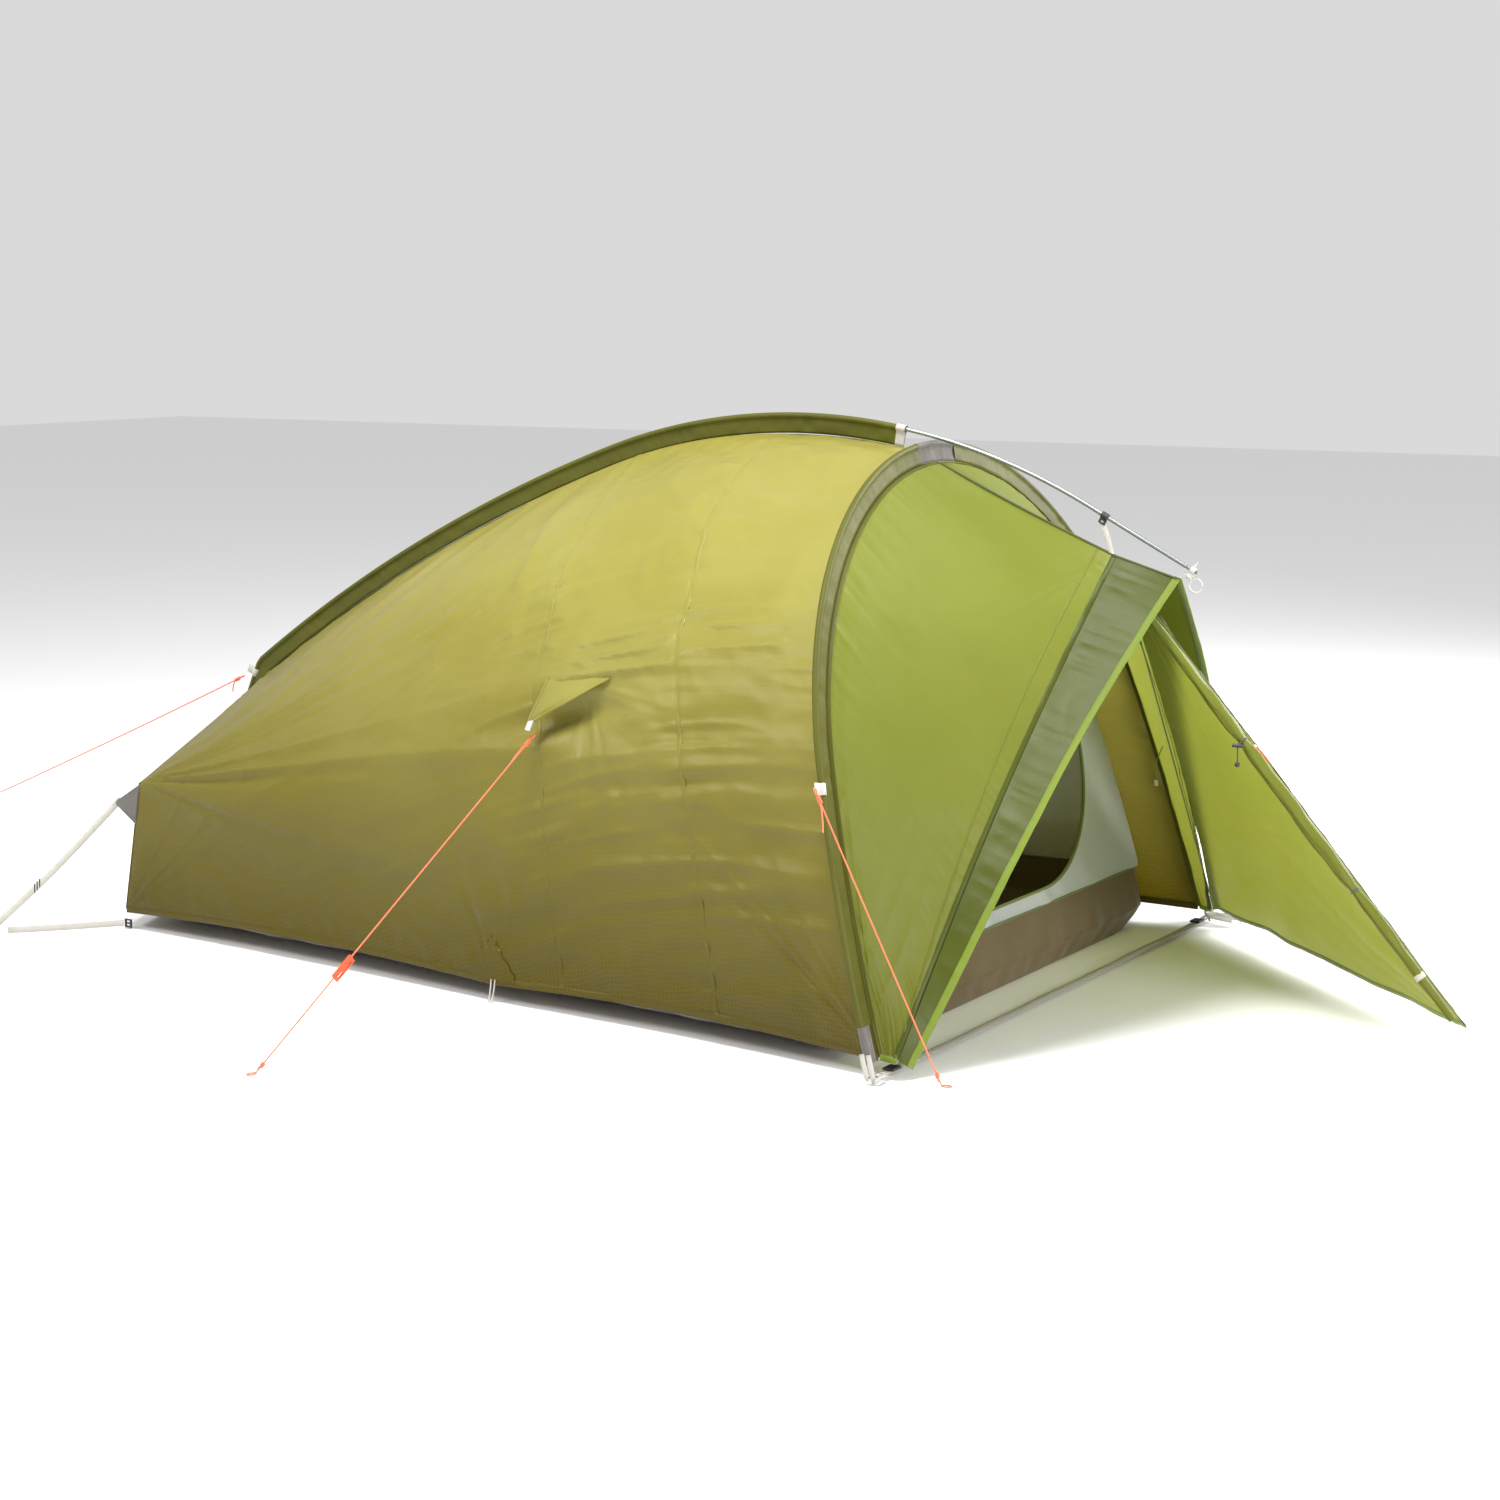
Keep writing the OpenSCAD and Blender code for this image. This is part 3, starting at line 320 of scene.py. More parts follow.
def frames_along(path, across):
    """Directions along a path, across it and out of it."""
    tangent = unit(np.gradient(path, axis=0))
    across = np.broadcast_to(np.asarray(across, float), path.shape)
    side = unit(across - tangent * (across * tangent).sum(-1, keepdims=True))
    return tangent, side, np.cross(tangent, side)


def swept_grid(path, x, y, across):
    """Points at x across a path and y out of it, for each point of the path."""
    _, side, out = frames_along(path, across)
    return path[:, None] + side[:, None] * x[..., None] + out[:, None] * y[..., None]


def swept_uv(path, profile):
    """UVs in metres: the length along the path, and the length round the profile."""
    grid = np.meshgrid(running_length(path), running_length(profile), indexing="ij")
    return np.stack(grid, -1).reshape(-1, 2)


def sweep(name, path, profile, across, material):
    """A solid bar whose section is a profile. The profile's x lies across the path, its y out of it."""
    path = np.asarray(path, float)
    g = swept_grid(path, profile[None, :, 0], profile[None, :, 1], across)
    n, m = g.shape[:2]
    caps = [list(range(m))[::-1], list(range((n - 1) * m, n * m))]
    return add_mesh(name, g, grid_faces(n, m, True) + caps, material, swept_uv(path, profile))


def ring(radius, sides):
    """A round section."""
    a = np.arange(sides) * 2 * math.pi / sides
    return np.stack([radius * np.cos(a), radius * np.sin(a)], -1)


def tape_profile(width, thick):
    """A flat tape's section with rounded edges."""
    w, t = width / 2, thick / 2
    e = min(t, w) * 0.6
    lower = [[-w, -t + e], [-w + e, -t], [w - e, -t], [w, -t + e]]
    upper = [[w, t - e], [w - e, t], [-w + e, t], [-w, t - e]]
    return np.array(lower + upper)


def curve_points(points, per=8):
    """A smooth line through points."""
    points = np.asarray(points, float)
    return refine(np.repeat(points[:, None], 2, axis=1), per)[:, 0]


def tube(name, path, radius, material, sides=10, across=(0.31, 0.17, 0.93)):
    """A round bar. across is any direction that the path never runs along."""
    return sweep(name, path, ring(radius, sides), across, material)


def joined(name, parts):
    """Joins mesh objects into one and gives it a name."""
    with bpy.context.temp_override(active_object=parts[0], selected_editable_objects=parts):
        bpy.ops.object.join()
    parts[0].name = name
    return parts[0]


def place(obj, body, slot, *cad):
    """Sets what a finished piece rides on and hides the CAD nodes it stands for; its slot is not used."""
    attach(obj, body)
    if cad:
        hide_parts(*cad)
    return obj


# ---------- materials ----------


class Nodes:
    """A small helper that builds one material's node tree."""

    def __init__(self, name):
        self.material = bpy.data.materials.new(name)
        self.material.use_nodes = True
        self.tree = self.material.node_tree
        self.shader = self.tree.nodes["Principled BSDF"]
        self.output = self.tree.nodes["Material Output"]

    def add(self, kind, **inputs):
        """A new node with some of its inputs or settings filled in."""
        node = self.tree.nodes.new(kind)
        for key, value in inputs.items():
            if key in node.inputs:
                self.put(node.inputs[key], value)
            else:
                setattr(node, key, value)
        return node

    def put(self, socket, value):
        if isinstance(value, bpy.types.NodeSocket):
            self.tree.links.new(value, socket)
        else:
            socket.default_value = value

    def coordinates(self, source, scale):
        mapping = self.add("ShaderNodeMapping")
        self.put(mapping.inputs["Vector"], self.add("ShaderNodeTexCoord").outputs[source])
        mapping.inputs["Scale"].default_value = scale
        return mapping.outputs["Vector"]

    def uv(self, scale):
        return self.coordinates("UV", scale)

    def objects(self, scale):
        return self.coordinates("Object", scale)

    def math(self, operation, a, b=0.5):
        node = self.add("ShaderNodeMath", operation=operation)
        self.put(node.inputs[0], a)
        self.put(node.inputs[1], b)
        return node.outputs[0]

    def mix(self, factor, a, b):
        node = self.add("ShaderNodeMix", data_type="RGBA")
        self.put(node.inputs["Factor"], factor)
        self.put(node.inputs[6], a)
        self.put(node.inputs[7], b)
        return node.outputs[2]

    def noise(self, vector, scale, detail=3.0):
        node = self.add("ShaderNodeTexNoise")
        node.inputs["Vector"].default_value = (0, 0, 0)
        self.put(node.inputs["Vector"], vector)
        node.inputs["Scale"].default_value = scale
        node.inputs["Detail"].default_value = detail
        return node.outputs["Fac"]

    def bands(self, vector, direction, scale):
        node = self.add("ShaderNodeTexWave", wave_type="BANDS", bands_direction=direction)
        self.put(node.inputs["Vector"], vector)
        node.inputs["Scale"].default_value = scale
        return node.outputs["Fac"]

    def ramp(self, factor, low, high):
        node = self.add("ShaderNodeMapRange")
        self.put(node.inputs["Value"], factor)
        node.inputs["From Min"].default_value = low
        node.inputs["From Max"].default_value = high
        return node.outputs["Result"]

    def bump(self, height, strength, distance):
        node = self.add("ShaderNodeBump")
        self.put(node.inputs["Height"], height)
        node.inputs["Strength"].default_value = strength
        node.inputs["Distance"].default_value = distance
        self.put(self.shader.inputs["Normal"], node.outputs["Normal"])

    def let_light_through(self, colour, share):
        glow = self.add("ShaderNodeBsdfTranslucent")
        self.put(glow.inputs["Color"], colour)
        mix = self.add("ShaderNodeMixShader")
        mix.inputs[0].default_value = share
        self.put(mix.inputs[1], self.shader.outputs[0])
        self.put(mix.inputs[2], glow.outputs[0])
        self.put(self.output.inputs["Surface"], mix.outputs[0])

    def finish(self, colour, roughness, **values):
        self.put(self.shader.inputs["Base Color"], colour)
        self.put(self.shader.inputs["Roughness"], roughness)
        for key, value in values.items():
            self.put(self.shader.inputs[key.replace("_", " ")], value)
        return self.material


def linear(r, g, b):
    """Linear colour from display values between 0 and 255."""
    def one(c):
        c /= 255
        return c / 12.92 if c <= 0.04045 else ((c + 0.055) / 1.055) ** 2.4
    return (one(r), one(g), one(b), 1.0)


def fabric(name, light, dark, roughness=0.5, sheen=0.3, through=0.0, grain=1.0, low=None):
    """Coated ripstop: a fine weave, faint squares of thicker threads and slow changes of tone.
    low is painted shade: a darker colour blended in towards the ground, where less light falls on the cloth."""
    n = Nodes(name)
    metre = n.uv((1, 1, 1))
    ripstop_x = n.ramp(n.bands(metre, "X", 32.0), 0.9, 1.0)
    ripstop_y = n.ramp(n.bands(metre, "Y", 32.0), 0.9, 1.0)
    ripstop = n.math("MAXIMUM", ripstop_x, ripstop_y)
    weave = n.math("MULTIPLY", n.bands(metre, "X", 260.0), n.bands(metre, "Y", 260.0))
    tone = n.ramp(n.noise(n.objects((1, 1, 1)), 2.6, 4.0), 0.3, 0.7)
    colour = n.mix(tone, light, dark)
    # painted shade: from 0.85 m down to 0.05 m the colour is blended into the darker low colour
    if low:
        place_at = n.add("ShaderNodeSeparateXYZ")
        n.put(place_at.inputs[0], n.objects((1, 1, 1)))
        colour = n.mix(n.ramp(place_at.outputs["Z"], 0.85, 0.05), colour, low)
    colour = n.mix(n.math("MULTIPLY", ripstop, 0.12), colour, dark)
    height = n.math("ADD", n.math("MULTIPLY", weave, 0.5), n.math("MULTIPLY", ripstop, 0.6))
    height = n.math("ADD", height, n.noise(metre, 38.0, 4.0))
    n.bump(height, 0.22 * grain, 0.0006)
    rough = n.math("ADD", n.math("MULTIPLY", n.noise(metre, 9.0), 0.16), roughness - 0.08)
    if through > 0:
        n.let_light_through(colour, through)
    return n.finish(colour, rough, Sheen_Weight=sheen, Sheen_Roughness=0.45, Specular_IOR_Level=0.28)


def webbing(name, light, dark):
    """Woven tape with a herringbone and slightly fuzzy edges."""
    n = Nodes(name)
    metre = n.uv((1, 1, 1))
    rows = n.bands(metre, "DIAGONAL", 170.0)
    ribs = n.bands(metre, "X", 150.0)
    worn = n.noise(metre, 60.0)
    colour = n.mix(n.math("MULTIPLY", n.math("ADD", rows, worn), 0.5), light, dark)
    n.bump(n.math("ADD", n.math("MULTIPLY", ribs, 0.7), rows), 0.5, 0.0005)
    return n.finish(colour, 0.78, Sheen_Weight=0.25)


def braid(name, light, fleck):
    """A round braided line with a paler fleck."""
    n = Nodes(name)
    metre = n.uv((1, 1, 1))
    lay = n.bands(metre, "DIAGONAL", 210.0)
    colour = n.mix(n.ramp(lay, 0.82, 0.95), light, fleck)
    n.bump(n.math("ADD", lay, n.noise(metre, 900.0)), 0.5, 0.0004)
    return n.finish(colour, 0.6, Sheen_Weight=0.3)


def darker(colour, share):
    """A colour with its brightness multiplied by a share."""
    return tuple(share * c for c in colour[:3]) + (1.0,)


def metal(name, colour, roughness, metallic=1.0):
    """Metal with faint scratches."""
    n = Nodes(name)
    scratch = n.noise(n.objects((30, 30, 30)), 9.0, 5.0)
    tone = n.mix(n.math("MULTIPLY", scratch, 0.35), colour, darker(colour, 0.7))
    n.bump(scratch, 0.06, 0.0004)
    rough = n.math("ADD", n.math("MULTIPLY", scratch, 0.18), roughness - 0.09)
    return n.finish(tone, rough, Metallic=metallic)


def plastic(name, colour, roughness):
    """Moulded plastic with a fine grain."""
    n = Nodes(name)
    grain = n.noise(n.objects((60, 60, 60)), 14.0, 4.0)
    tone = n.mix(n.math("MULTIPLY", grain, 0.4), colour, darker(colour, 0.6))
    n.bump(grain, 0.15, 0.0003)
    rough = n.math("ADD", n.math("MULTIPLY", grain, 0.2), roughness - 0.1)
    return n.finish(tone, rough)


# The low colours of OLIVE and GREEN are painted shade: darker, more saturated colours that take over near the
# ground.
OLIVE = fabric("fly_olive", linear(162, 155, 78), linear(150, 141, 58), 0.34, 0.04, 0.3,
               low=linear(84, 72, 2))
SLEEVE = fabric("sleeve_olive", linear(82, 82, 10), linear(66, 66, 3), 0.6, 0.0)
GREEN = fabric("vestibule_green", linear(145, 153, 64), linear(133, 141, 50), 0.38, 0.04, 0.5,
               low=linear(112, 116, 36))
STRIP = fabric("vestibule_strip", linear(78, 86, 16), linear(68, 76, 10), 0.42, 0.04, 0.3)
BINDING = fabric("binding_green", linear(108, 126, 26), linear(92, 108, 20), 0.6, 0.3, 0.0, 1.6)
GREY_PATCH = fabric("patch_grey", linear(88, 84, 76), linear(72, 69, 62), 0.7, 0.2, 0.0, 1.8)
POCKET_GREY = fabric("pocket_grey", linear(104, 100, 96), linear(84, 80, 76), 0.75, 0.3, 0.0, 1.8)
INNER = fabric("inner_grey", linear(222, 226, 228), linear(206, 211, 213), 0.7, 0.1, 0.4)
TAB_OLIVE = fabric("tab_olive", linear(132, 126, 44), linear(112, 106, 32), 0.5, 0.3, 0.05)
ZIP = webbing("zip_tape", linear(104, 116, 50), linear(74, 84, 34))
TUB = fabric("tub_brown", linear(106, 89, 63), linear(88, 73, 50), 0.55, 0.25, 0.0)
PIPING = fabric("piping_green", linear(96, 116, 60), linear(82, 100, 50), 0.6, 0.3, 0.0, 1.6)
WEBBING = webbing("webbing_grey", linear(196, 192, 184), linear(158, 152, 144))
WEBBING_DARK = webbing("webbing_taupe", linear(178, 172, 158), linear(142, 136, 124))
LINE = braid("line_orange", linear(240, 92, 52), linear(250, 150, 100))
BLACK_CORD = braid("cord_black", linear(46, 46, 46), linear(80, 80, 80))
ALLOY = metal("alloy_tube", linear(150, 155, 156), 0.38, 0.85)
BLACK = plastic("hardware_black", linear(38, 38, 40), 0.45)
RUNNER = plastic("runner_orange", linear(232, 88, 44), 0.35)

# ---------- guylines ----------

GUY_R = 0.0015
LOOP_R = 0.012
PEG_LOOP_R = 0.020


def taut(a, b, sag, steps=60):
    """A line under tension from a to b, with a slight sag."""
    k = np.linspace(0, 1, steps + 1)[:, None]
    return lerp(np.array(a), np.array(b), k) - 4 * sag * k * (1 - k) * np.array([0, 0, 1.0])


REAR_GUY = taut((-1.166, 0, 0.510), (-2.356, 0, 0.005), 0.006)
SIDE_GUY = taut((0.2058, -0.6618, 0.5589), (0.068, -1.363, 0.005), 0.0001)
HOOP_GUY = taut((0.955, -0.792, 0.535), (1.208, -0.762, 0.005), 0.002)


def end_loop(name, at, direction, size, material):
    """The small loop that a line makes round its peg or through its webbing."""
    side = unit(np.cross(direction, UP))
    a = np.linspace(0.06, 2 * math.pi - 0.06, 40)[:, None]
    path = np.asarray(at) + direction * size * (0.5 - 0.5 * np.cos(a)) + side * size * 0.30 * np.sin(a)
    return tube(name, path, GUY_R, material, 8)


def knot(name, at, direction, turns, material, tail=0.03):
    """Turns of line wound tightly round itself, and the tail that comes out of them."""
    side = unit(np.cross(direction, UP))
    over = np.cross(side, direction)
    a = np.linspace(0, turns * 2 * math.pi, turns * 16)[:, None]
    wrap = 2.05 * GUY_R
    pitch = 2.15 * GUY_R
    around = side * np.cos(a) + over * np.sin(a)
    coil = np.asarray(at) + direction * (a / (2 * math.pi) * pitch) + wrap * around
    k = np.linspace(0.15, 1, 10)[:, None]
    end = coil[-1] + direction * tail * k * 0.8 + side * tail * 0.45 * k ** 1.5 - UP * tail * 0.5 * k * k
    return tube(name, np.concatenate([coil, end]), GUY_R * 0.96, material, 8)


def add_guyline(node, route):
    """A line with a knotted loop at each end."""
    start, stop = unit(route[1] - route[0]), unit(route[-1] - route[-2])
    along_ground = unit(stop * [1, 1, 0])
    line = tube(node + "_line", route, GUY_R, LINE, 12)
    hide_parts(node)
    extras = [
        end_loop(node + "_top_loop", route[0], -start, LOOP_R, LINE),
        knot(node + "_top_knot", route[0] + start * 0.004, start, 5, LINE, 0.040),
        end_loop(node + "_peg_loop", route[-1] - stop * 0.001, along_ground, PEG_LOOP_R, LINE),
        knot(node + "_peg_knot", route[-1] - stop * 0.026, stop, 3, LINE, 0.006),
    ]
    tie = joined(node + "_knots", extras)
    for piece in (line, tie):
        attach(piece, "tent")


add_guyline("guyline_rear", REAR_GUY)
add_guyline("guyline_side", SIDE_GUY)
add_guyline("guyline_hoop", HOOP_GUY)

# ---------- cloth ----------


def settle(g, pinned, slack=0.003, frames=36, folds=1.0):
    """Lets cloth hang between its pinned points, cut a little larger than the space it spans."""
    n, m = g.shape[:2]
    mesh = bpy.data.meshes.new("settling")
    mesh.from_pydata(g.reshape(-1, 3).tolist(), [], grid_faces(n, m))
    obj = bpy.data.objects.new("settling", mesh)
    scene = bpy.context.scene
    scene.collection.objects.link(obj)
    group = obj.vertex_groups.new(name="pin")
    group.add(np.flatnonzero(pinned.ravel()).tolist(), 1.0, "REPLACE")
    cloth = obj.modifiers.new("cloth", "CLOTH")
    cloth.settings.vertex_group_mass = "pin"
    cloth.settings.quality = 6
    cloth.settings.mass = 0.03
    cloth.settings.tension_stiffness = 25.0
    cloth.settings.compression_stiffness = 25.0
    cloth.settings.shear_stiffness = 12.0
    cloth.settings.bending_stiffness = 0.4
    cloth.settings.shrink_min = -slack
    cloth.settings.air_damping = 3.0
    cloth.collision_settings.use_collision = False
    cloth.point_cache.frame_end = frames
    scene.frame_start = 1
    scene.frame_end = frames
    for f in range(1, frames + 1):
        scene.frame_set(f)
    evaluated = obj.evaluated_get(bpy.context.evaluated_depsgraph_get())
    co = np.zeros(n * m * 3)
    evaluated.to_mesh().vertices.foreach_get("co", co)
    evaluated.to_mesh_clear()
    bpy.data.objects.remove(obj)
    bpy.data.meshes.remove(mesh)
    scene.frame_set(1)
    return calmed(g, co.reshape(g.shape) - g, folds)


def blurred(d, times):
    """A grid field averaged with its neighbours."""
    for _ in range(times):
        pad = np.pad(d, ((1, 1), (1, 1), (0, 0)), "edge")
        d = (pad[:-2, 1:-1] + pad[2:, 1:-1] + pad[1:-1, :-2] + pad[1:-1, 2:]) / 4
    return d


def calmed(g, moved, folds, cap=0.012):
    """Keeps the simulated folds, or a share of them, and caps how far the cloth as a whole has sunk."""
    whole = blurred(moved, 24)
    size = np.linalg.norm(whole, axis=-1, keepdims=True)
    return g + whole / (1 + size / cap) + folds * (moved - whole)


def displaced(g, height):
    """A grid moved along its own normals."""
    return g + grid_normals(g) * height[..., None]


def fan(along, down, centre, angle, spread, count, depth, reach, seed):
    """Folds that run out from a point of the cloth, such as a peg point or a corner."""
    x, y = along - centre[0], down - centre[1]
    r = np.hypot(x, y)
    turn = (np.arctan2(y, x) - angle + math.pi) % (2 * math.pi) - math.pi
    window = np.exp(-2 * (turn / spread) ** 2)
    wave = 0.5 - np.abs(smooth_noise((turn / spread + 4) * count, seed))
    return depth * window * wave * r / (r + 0.06) * np.exp(-r / reach)


def puckers(distance, length, depth, spacing, reach, seed):
    """Short folds that cross a seam."""
    wave = smooth_noise(length / spacing, seed) + 0.5 * smooth_noise(length / spacing * 2.3, seed + 1)
    return depth * wave * np.exp(-distance / reach) * (1 - 0.6 * np.exp(-distance / 0.004))


def at(field, u, v):
    """The value of a grid field at a place given by fractions of its rows and columns."""
    n, m = field.shape
    return float(field[min(int(round(u * (n - 1))), n - 1), min(int(round(v * (m - 1))), m - 1)])


def spot(fields, u, v):
    """The two lengths of a cloth at a place given by fractions."""
    return at(fields[0], u, v), at(fields[1], u, v)


def crinkle(along, down, seed):
    """The fine creases that coated cloth keeps from its stuff sack."""
    broad = noise2(along / 0.16 + 9, down / 0.07 + 5, seed)
    small = noise2(along / 0.045 + 3, down / 0.03 + 7, seed + 1)
    ridged = 1 - np.abs(noise2(along / 0.09 + 1, down / 0.06 + 2, seed + 2))
    return 0.0011 * broad + 0.00035 * small + 0.0008 * ridged ** 4


def creases(a, b, seed):
    """Sharp-crested folds, about one unit apart along b and long along a."""
    wave = 1 - np.abs(noise2(a, b, seed))
    strength = 0.4 + 0.6 * np.clip(noise2(a * 0.6 + 17, b * 0.13 + 3, seed + 1) + 0.4, 0, 1)
    return (wave * wave - 0.4) * strength


# ---------- main fly ----------


def left(point):
    """A point of the right side, moved to the left side (-Y)."""
    return np.asarray(point) * [1.0, -1.0, 1.0]


def kneed(top, knee, foot, v):
    """A line from top to foot that bends at a knee."""
    v = column(v)
    upper = lerp(top, knee, np.minimum(v / KNEE, 1))
    lower = lerp(knee, foot, np.clip((v - KNEE) / (1 - KNEE), 0, 1))
    return np.where(v < KNEE, upper, lower)


def fly_rear_edge(v):
    """From the ridge's rear end down to the rear corner, with a knee where the gusset pulls."""
    return kneed(RIDGE_REAR_LOW + [0, -SEAM, 0], left(CORNER_TOP), left(CORNER), v)


def fly_front_edge(v):
    return hoop_point(np.asarray(v) * HEM_Q, -1, FIN_FOOT, -SEAM)


def fly_hem(u):
    """The hem is pegged in its middle, and rises a little in each span between the pegs."""
    line = lerp(fly_front_edge(1.0), left(CORNER), column(u))
    span = np.where(u < PEG_U, u / PEG_U, (u - PEG_U) / (1 - PEG_U))
    line[:, 2] += 0.012 * np.sin(math.pi * span)
    line[:, 1] += 0.010 * np.sin(math.pi * span)
    return line


def fly_top(u):
    return ridge_point(lerp(CROSSING_L + SEAM, RIDGE_L, u), FIN_FOOT, -SEAM)


TAB_U = (0.27, 0.348)
TAB_MIDDLE = 0.31
TAB_V = 0.565
PEG_U = 0.46
FLY_SEAMS = (0.185, 0.372)
EDGE_FADE = 0.012


def bump(u, v, centre_u, centre_v, half_u, half_v):
    """A soft spot on the cloth: 1 at its centre, fading to 0 about two half widths away."""
    return np.exp(-(((u - centre_u) / half_u) ** 2 + ((v - centre_v) / half_v) ** 2))


def frame_of(n, m):
    """Marks the four edges of an n by m grid."""
    edges = np.zeros((n, m), bool)
    edges[[0, -1], :] = True
    edges[:, [0, -1]] = True
    return edges


def fly_hung():
    """The left side of the fly, sewn in along its edges and pulled out at the tab."""
    n, m, finer = 76, 56, 5
    g = patch(n, m, fly_front_edge, fly_rear_edge, fly_top, fly_hem)
    u, v = fractions(n, m)
    g = displaced(g, 0.014 * bump(u, v, TAB_MIDDLE, TAB_V, 0.05, 0.03))
    at_tab = (np.abs(v - TAB_V) < 0.6 / m) & (u > TAB_U[0]) & (u < TAB_U[1])
    return refine(settle(g, frame_of(n, m) | at_tab, slack=0.0035, folds=0.4), finer)


def fly_creases(along, down, seed):
    """The long folds: low on the side, across its middle, and slanting at the shoulder."""
    u, v = fractions(*along.shape)
    low = np.clip((v - 0.42) * 2.5, 0, 1)
    middle = bump(u, v, 0.26, 0.64, 0.24, 0.22)
    shoulder = bump(u, v, 0.62, 0.42, 0.22, 0.18)
    slanted = down - 0.42 * along
    yield 0.0085 * low * creases(along / 0.50 + 2, down / 0.060 + 4, seed + 3)
    yield 0.0160 * middle * creases(along / 0.26 + 8, down / 0.042 + 1, seed + 4)
    yield 0.0100 * shoulder * creases(along / 0.30 + 5, slanted / 0.055 + 60, seed + 30)


def fly_fans(along, down, seed):
    """Folds that run out from the corners, the peg loop and both ends of the tab."""
    fields = along, down
    rear_knee, rear_top, rear_foot = spot(fields, 1.0, 0.66), spot(fields, 1.0, 0.0), spot(fields, 1.0, 1.0)
    hoop_foot, peg = spot(fields, 0.0, 1.0), spot(fields, PEG_U, 1.0)
    yield fan(along, down, rear_knee, math.pi, 0.70, 7, 0.045, 0.85, seed + 5)
    yield fan(along, down, rear_top, 2.3, 0.6, 6, 0.010, 0.55, seed + 6)
    yield fan(along, down, rear_foot, -2.7, 0.5, 6, 0.013, 0.50, seed + 7)
    yield fan(along, down, hoop_foot, -0.7, 0.6, 6, 0.012, 0.4, seed + 8)
    yield fan(along, down, peg, -1.57, 0.8, 5, 0.009, 0.22, seed + 9)
    for u, angle in ((TAB_U[0], -0.4), (TAB_U[1], 2.9), (TAB_MIDDLE, 1.5)):
        yield fan(along, down, spot(fields, u, TAB_V), angle, 0.6, 5, 0.012, 0.26, seed + 10)


def fly_puckers(along, down, seed):
    """Short folds across the edges and seams, and the groove of each seam."""
    yield puckers(down, along, 0.0022, 0.035, 0.05, seed + 11)
    yield puckers(along, down, 0.0020, 0.030, 0.05, seed + 13)
    yield puckers(down[:, -1:] - down, along, 0.0016, 0.035, 0.035, seed + 15)
    yield puckers(along[-1:] - along, down, 0.0018, 0.035, 0.05, seed + 17)
    for k, seam in enumerate(FLY_SEAMS):
        line = along[int(round(seam * (len(along) - 1)))][None, :]
        away = np.abs(along - line)
        yield puckers(away, down, 0.0048, 0.030, 0.09, seed + 19 + 2 * k) * np.clip(down / 0.7, 0, 1)
        yield -0.0012 * np.exp(-((away / 0.005) ** 2))


def hollow_below_tab(along):
    """The dent that the tab's pull leaves below it."""
    u, v = fractions(*along.shape)
    return 0.022 * bump(u, v - TAB_V, TAB_MIDDLE, 0.055, 0.05, 0.045)


def fly_side(side, seed):
    """One side of the fly: the hung cloth, its folds and the tapes over its seams."""
    g = fly_hung()
    along, down = arc_lengths(g)
    height = crinkle(along, down, seed)
    for folds in (fly_creases, fly_fans, fly_puckers):
        height = sum(folds(along, down, seed), height)
    height = height - hollow_below_tab(along)
    g = displaced(g, height * np.clip(from_edge(along, down) / EDGE_FADE, 0, 1))
    g = mirrored(g, side)
    node = "fly_left" if side < 0 else "fly_right"
    obj = cloth_mesh(node + "_cloth", g, OLIVE, flip=side < 0)
    place(obj, "tent", "fly_olive", node)
    declare_sheet(obj, g)
    trims = [edge_tape(g[:, -1], g[:, -1] - g[:, -3], 0.016, OLIVE)]
    trims += [seam_tape(g, int(round(s * (len(g) - 1))), OLIVE) for s in FLY_SEAMS]
    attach(joined(node + "_cloth_trim", trims), "tent")
    return g


def edge_tape(path, across, width, material, thick=0.0016):
    """A folded binding along an edge."""
    return sweep("binding", path, tape_profile(width, thick), across, material)


def seam_tape(g, row, material, width=0.011, thick=0.0012):
    """A flat-felled seam that follows a row of the cloth's grid."""
    path = g[row]
    across = g[min(row + 2, len(g) - 1)] - g[max(row - 2, 0)]
    return sweep("seam", path[::2], tape_profile(width, thick), across[::2], material)


def teardrop(reach=FIN, r=0.0064, sides=14):
    """The section of a pole sleeve: a loop round the pole above a flat double fin."""
    a = np.linspace(math.radians(-62), math.radians(242), sides)
    loop = np.stack([r * np.cos(a), r * np.sin(a)], -1)
    fin = np.linspace(-r * 1.5, -reach, 6)[:, None] * [0, 1]
    spread = np.linspace(1.8e-3, 0.9e-3, 6)[:, None] * [1, 0]
    return np.concatenate([loop, fin - spread, (fin + spread)[::-1]])


def sleeve(name, path, across, material, seed, reach=FIN, r=0.0064, ruffle=0.0016):
    """Cloth wrapped round a pole, gathered a little along its fin."""
    profile = teardrop(reach, r)
    _, side, out = frames_along(path, across)
    out = -out if out[0, 2] < 0 else out
    length = running_length(path)
    depth = -profile[None, :, 1] / reach
    middle = np.clip(depth, 0, 1) * (1 - np.clip(depth, 0, 1)) * 4
    wave = smooth_noise(length / 0.028, seed)[:, None] + 0.6 * smooth_noise(length / 0.011, seed + 1)[:, None]
    x = profile[None, :, 0] + ruffle * middle * wave
    x = x * (1 + 0.05 * smooth_noise(length / 0.05, seed + 2)[:, None])
    y = np.broadcast_to(profile[None, :, 1], x.shape)
    g = path[:, None] + side[:, None] * x[..., None] + out[:, None] * y[..., None]
    faces = grid_faces(g.shape[0], g.shape[1], True)
    obj = add_mesh(name, g, faces, material, swept_uv(path, profile))
    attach(obj, "tent")
    return obj


ELBOW_R = 0.060
FOOT_SLOPE = math.atan2(-FOOT_DIR[2], -FOOT_DIR[0])
ELBOW_CUT = ELBOW_R * math.tan((FOOT_SLOPE - REAR_SLOPE) / 2)
FOOT_L = float(np.linalg.norm(REAR_FOOT - ELBOW))


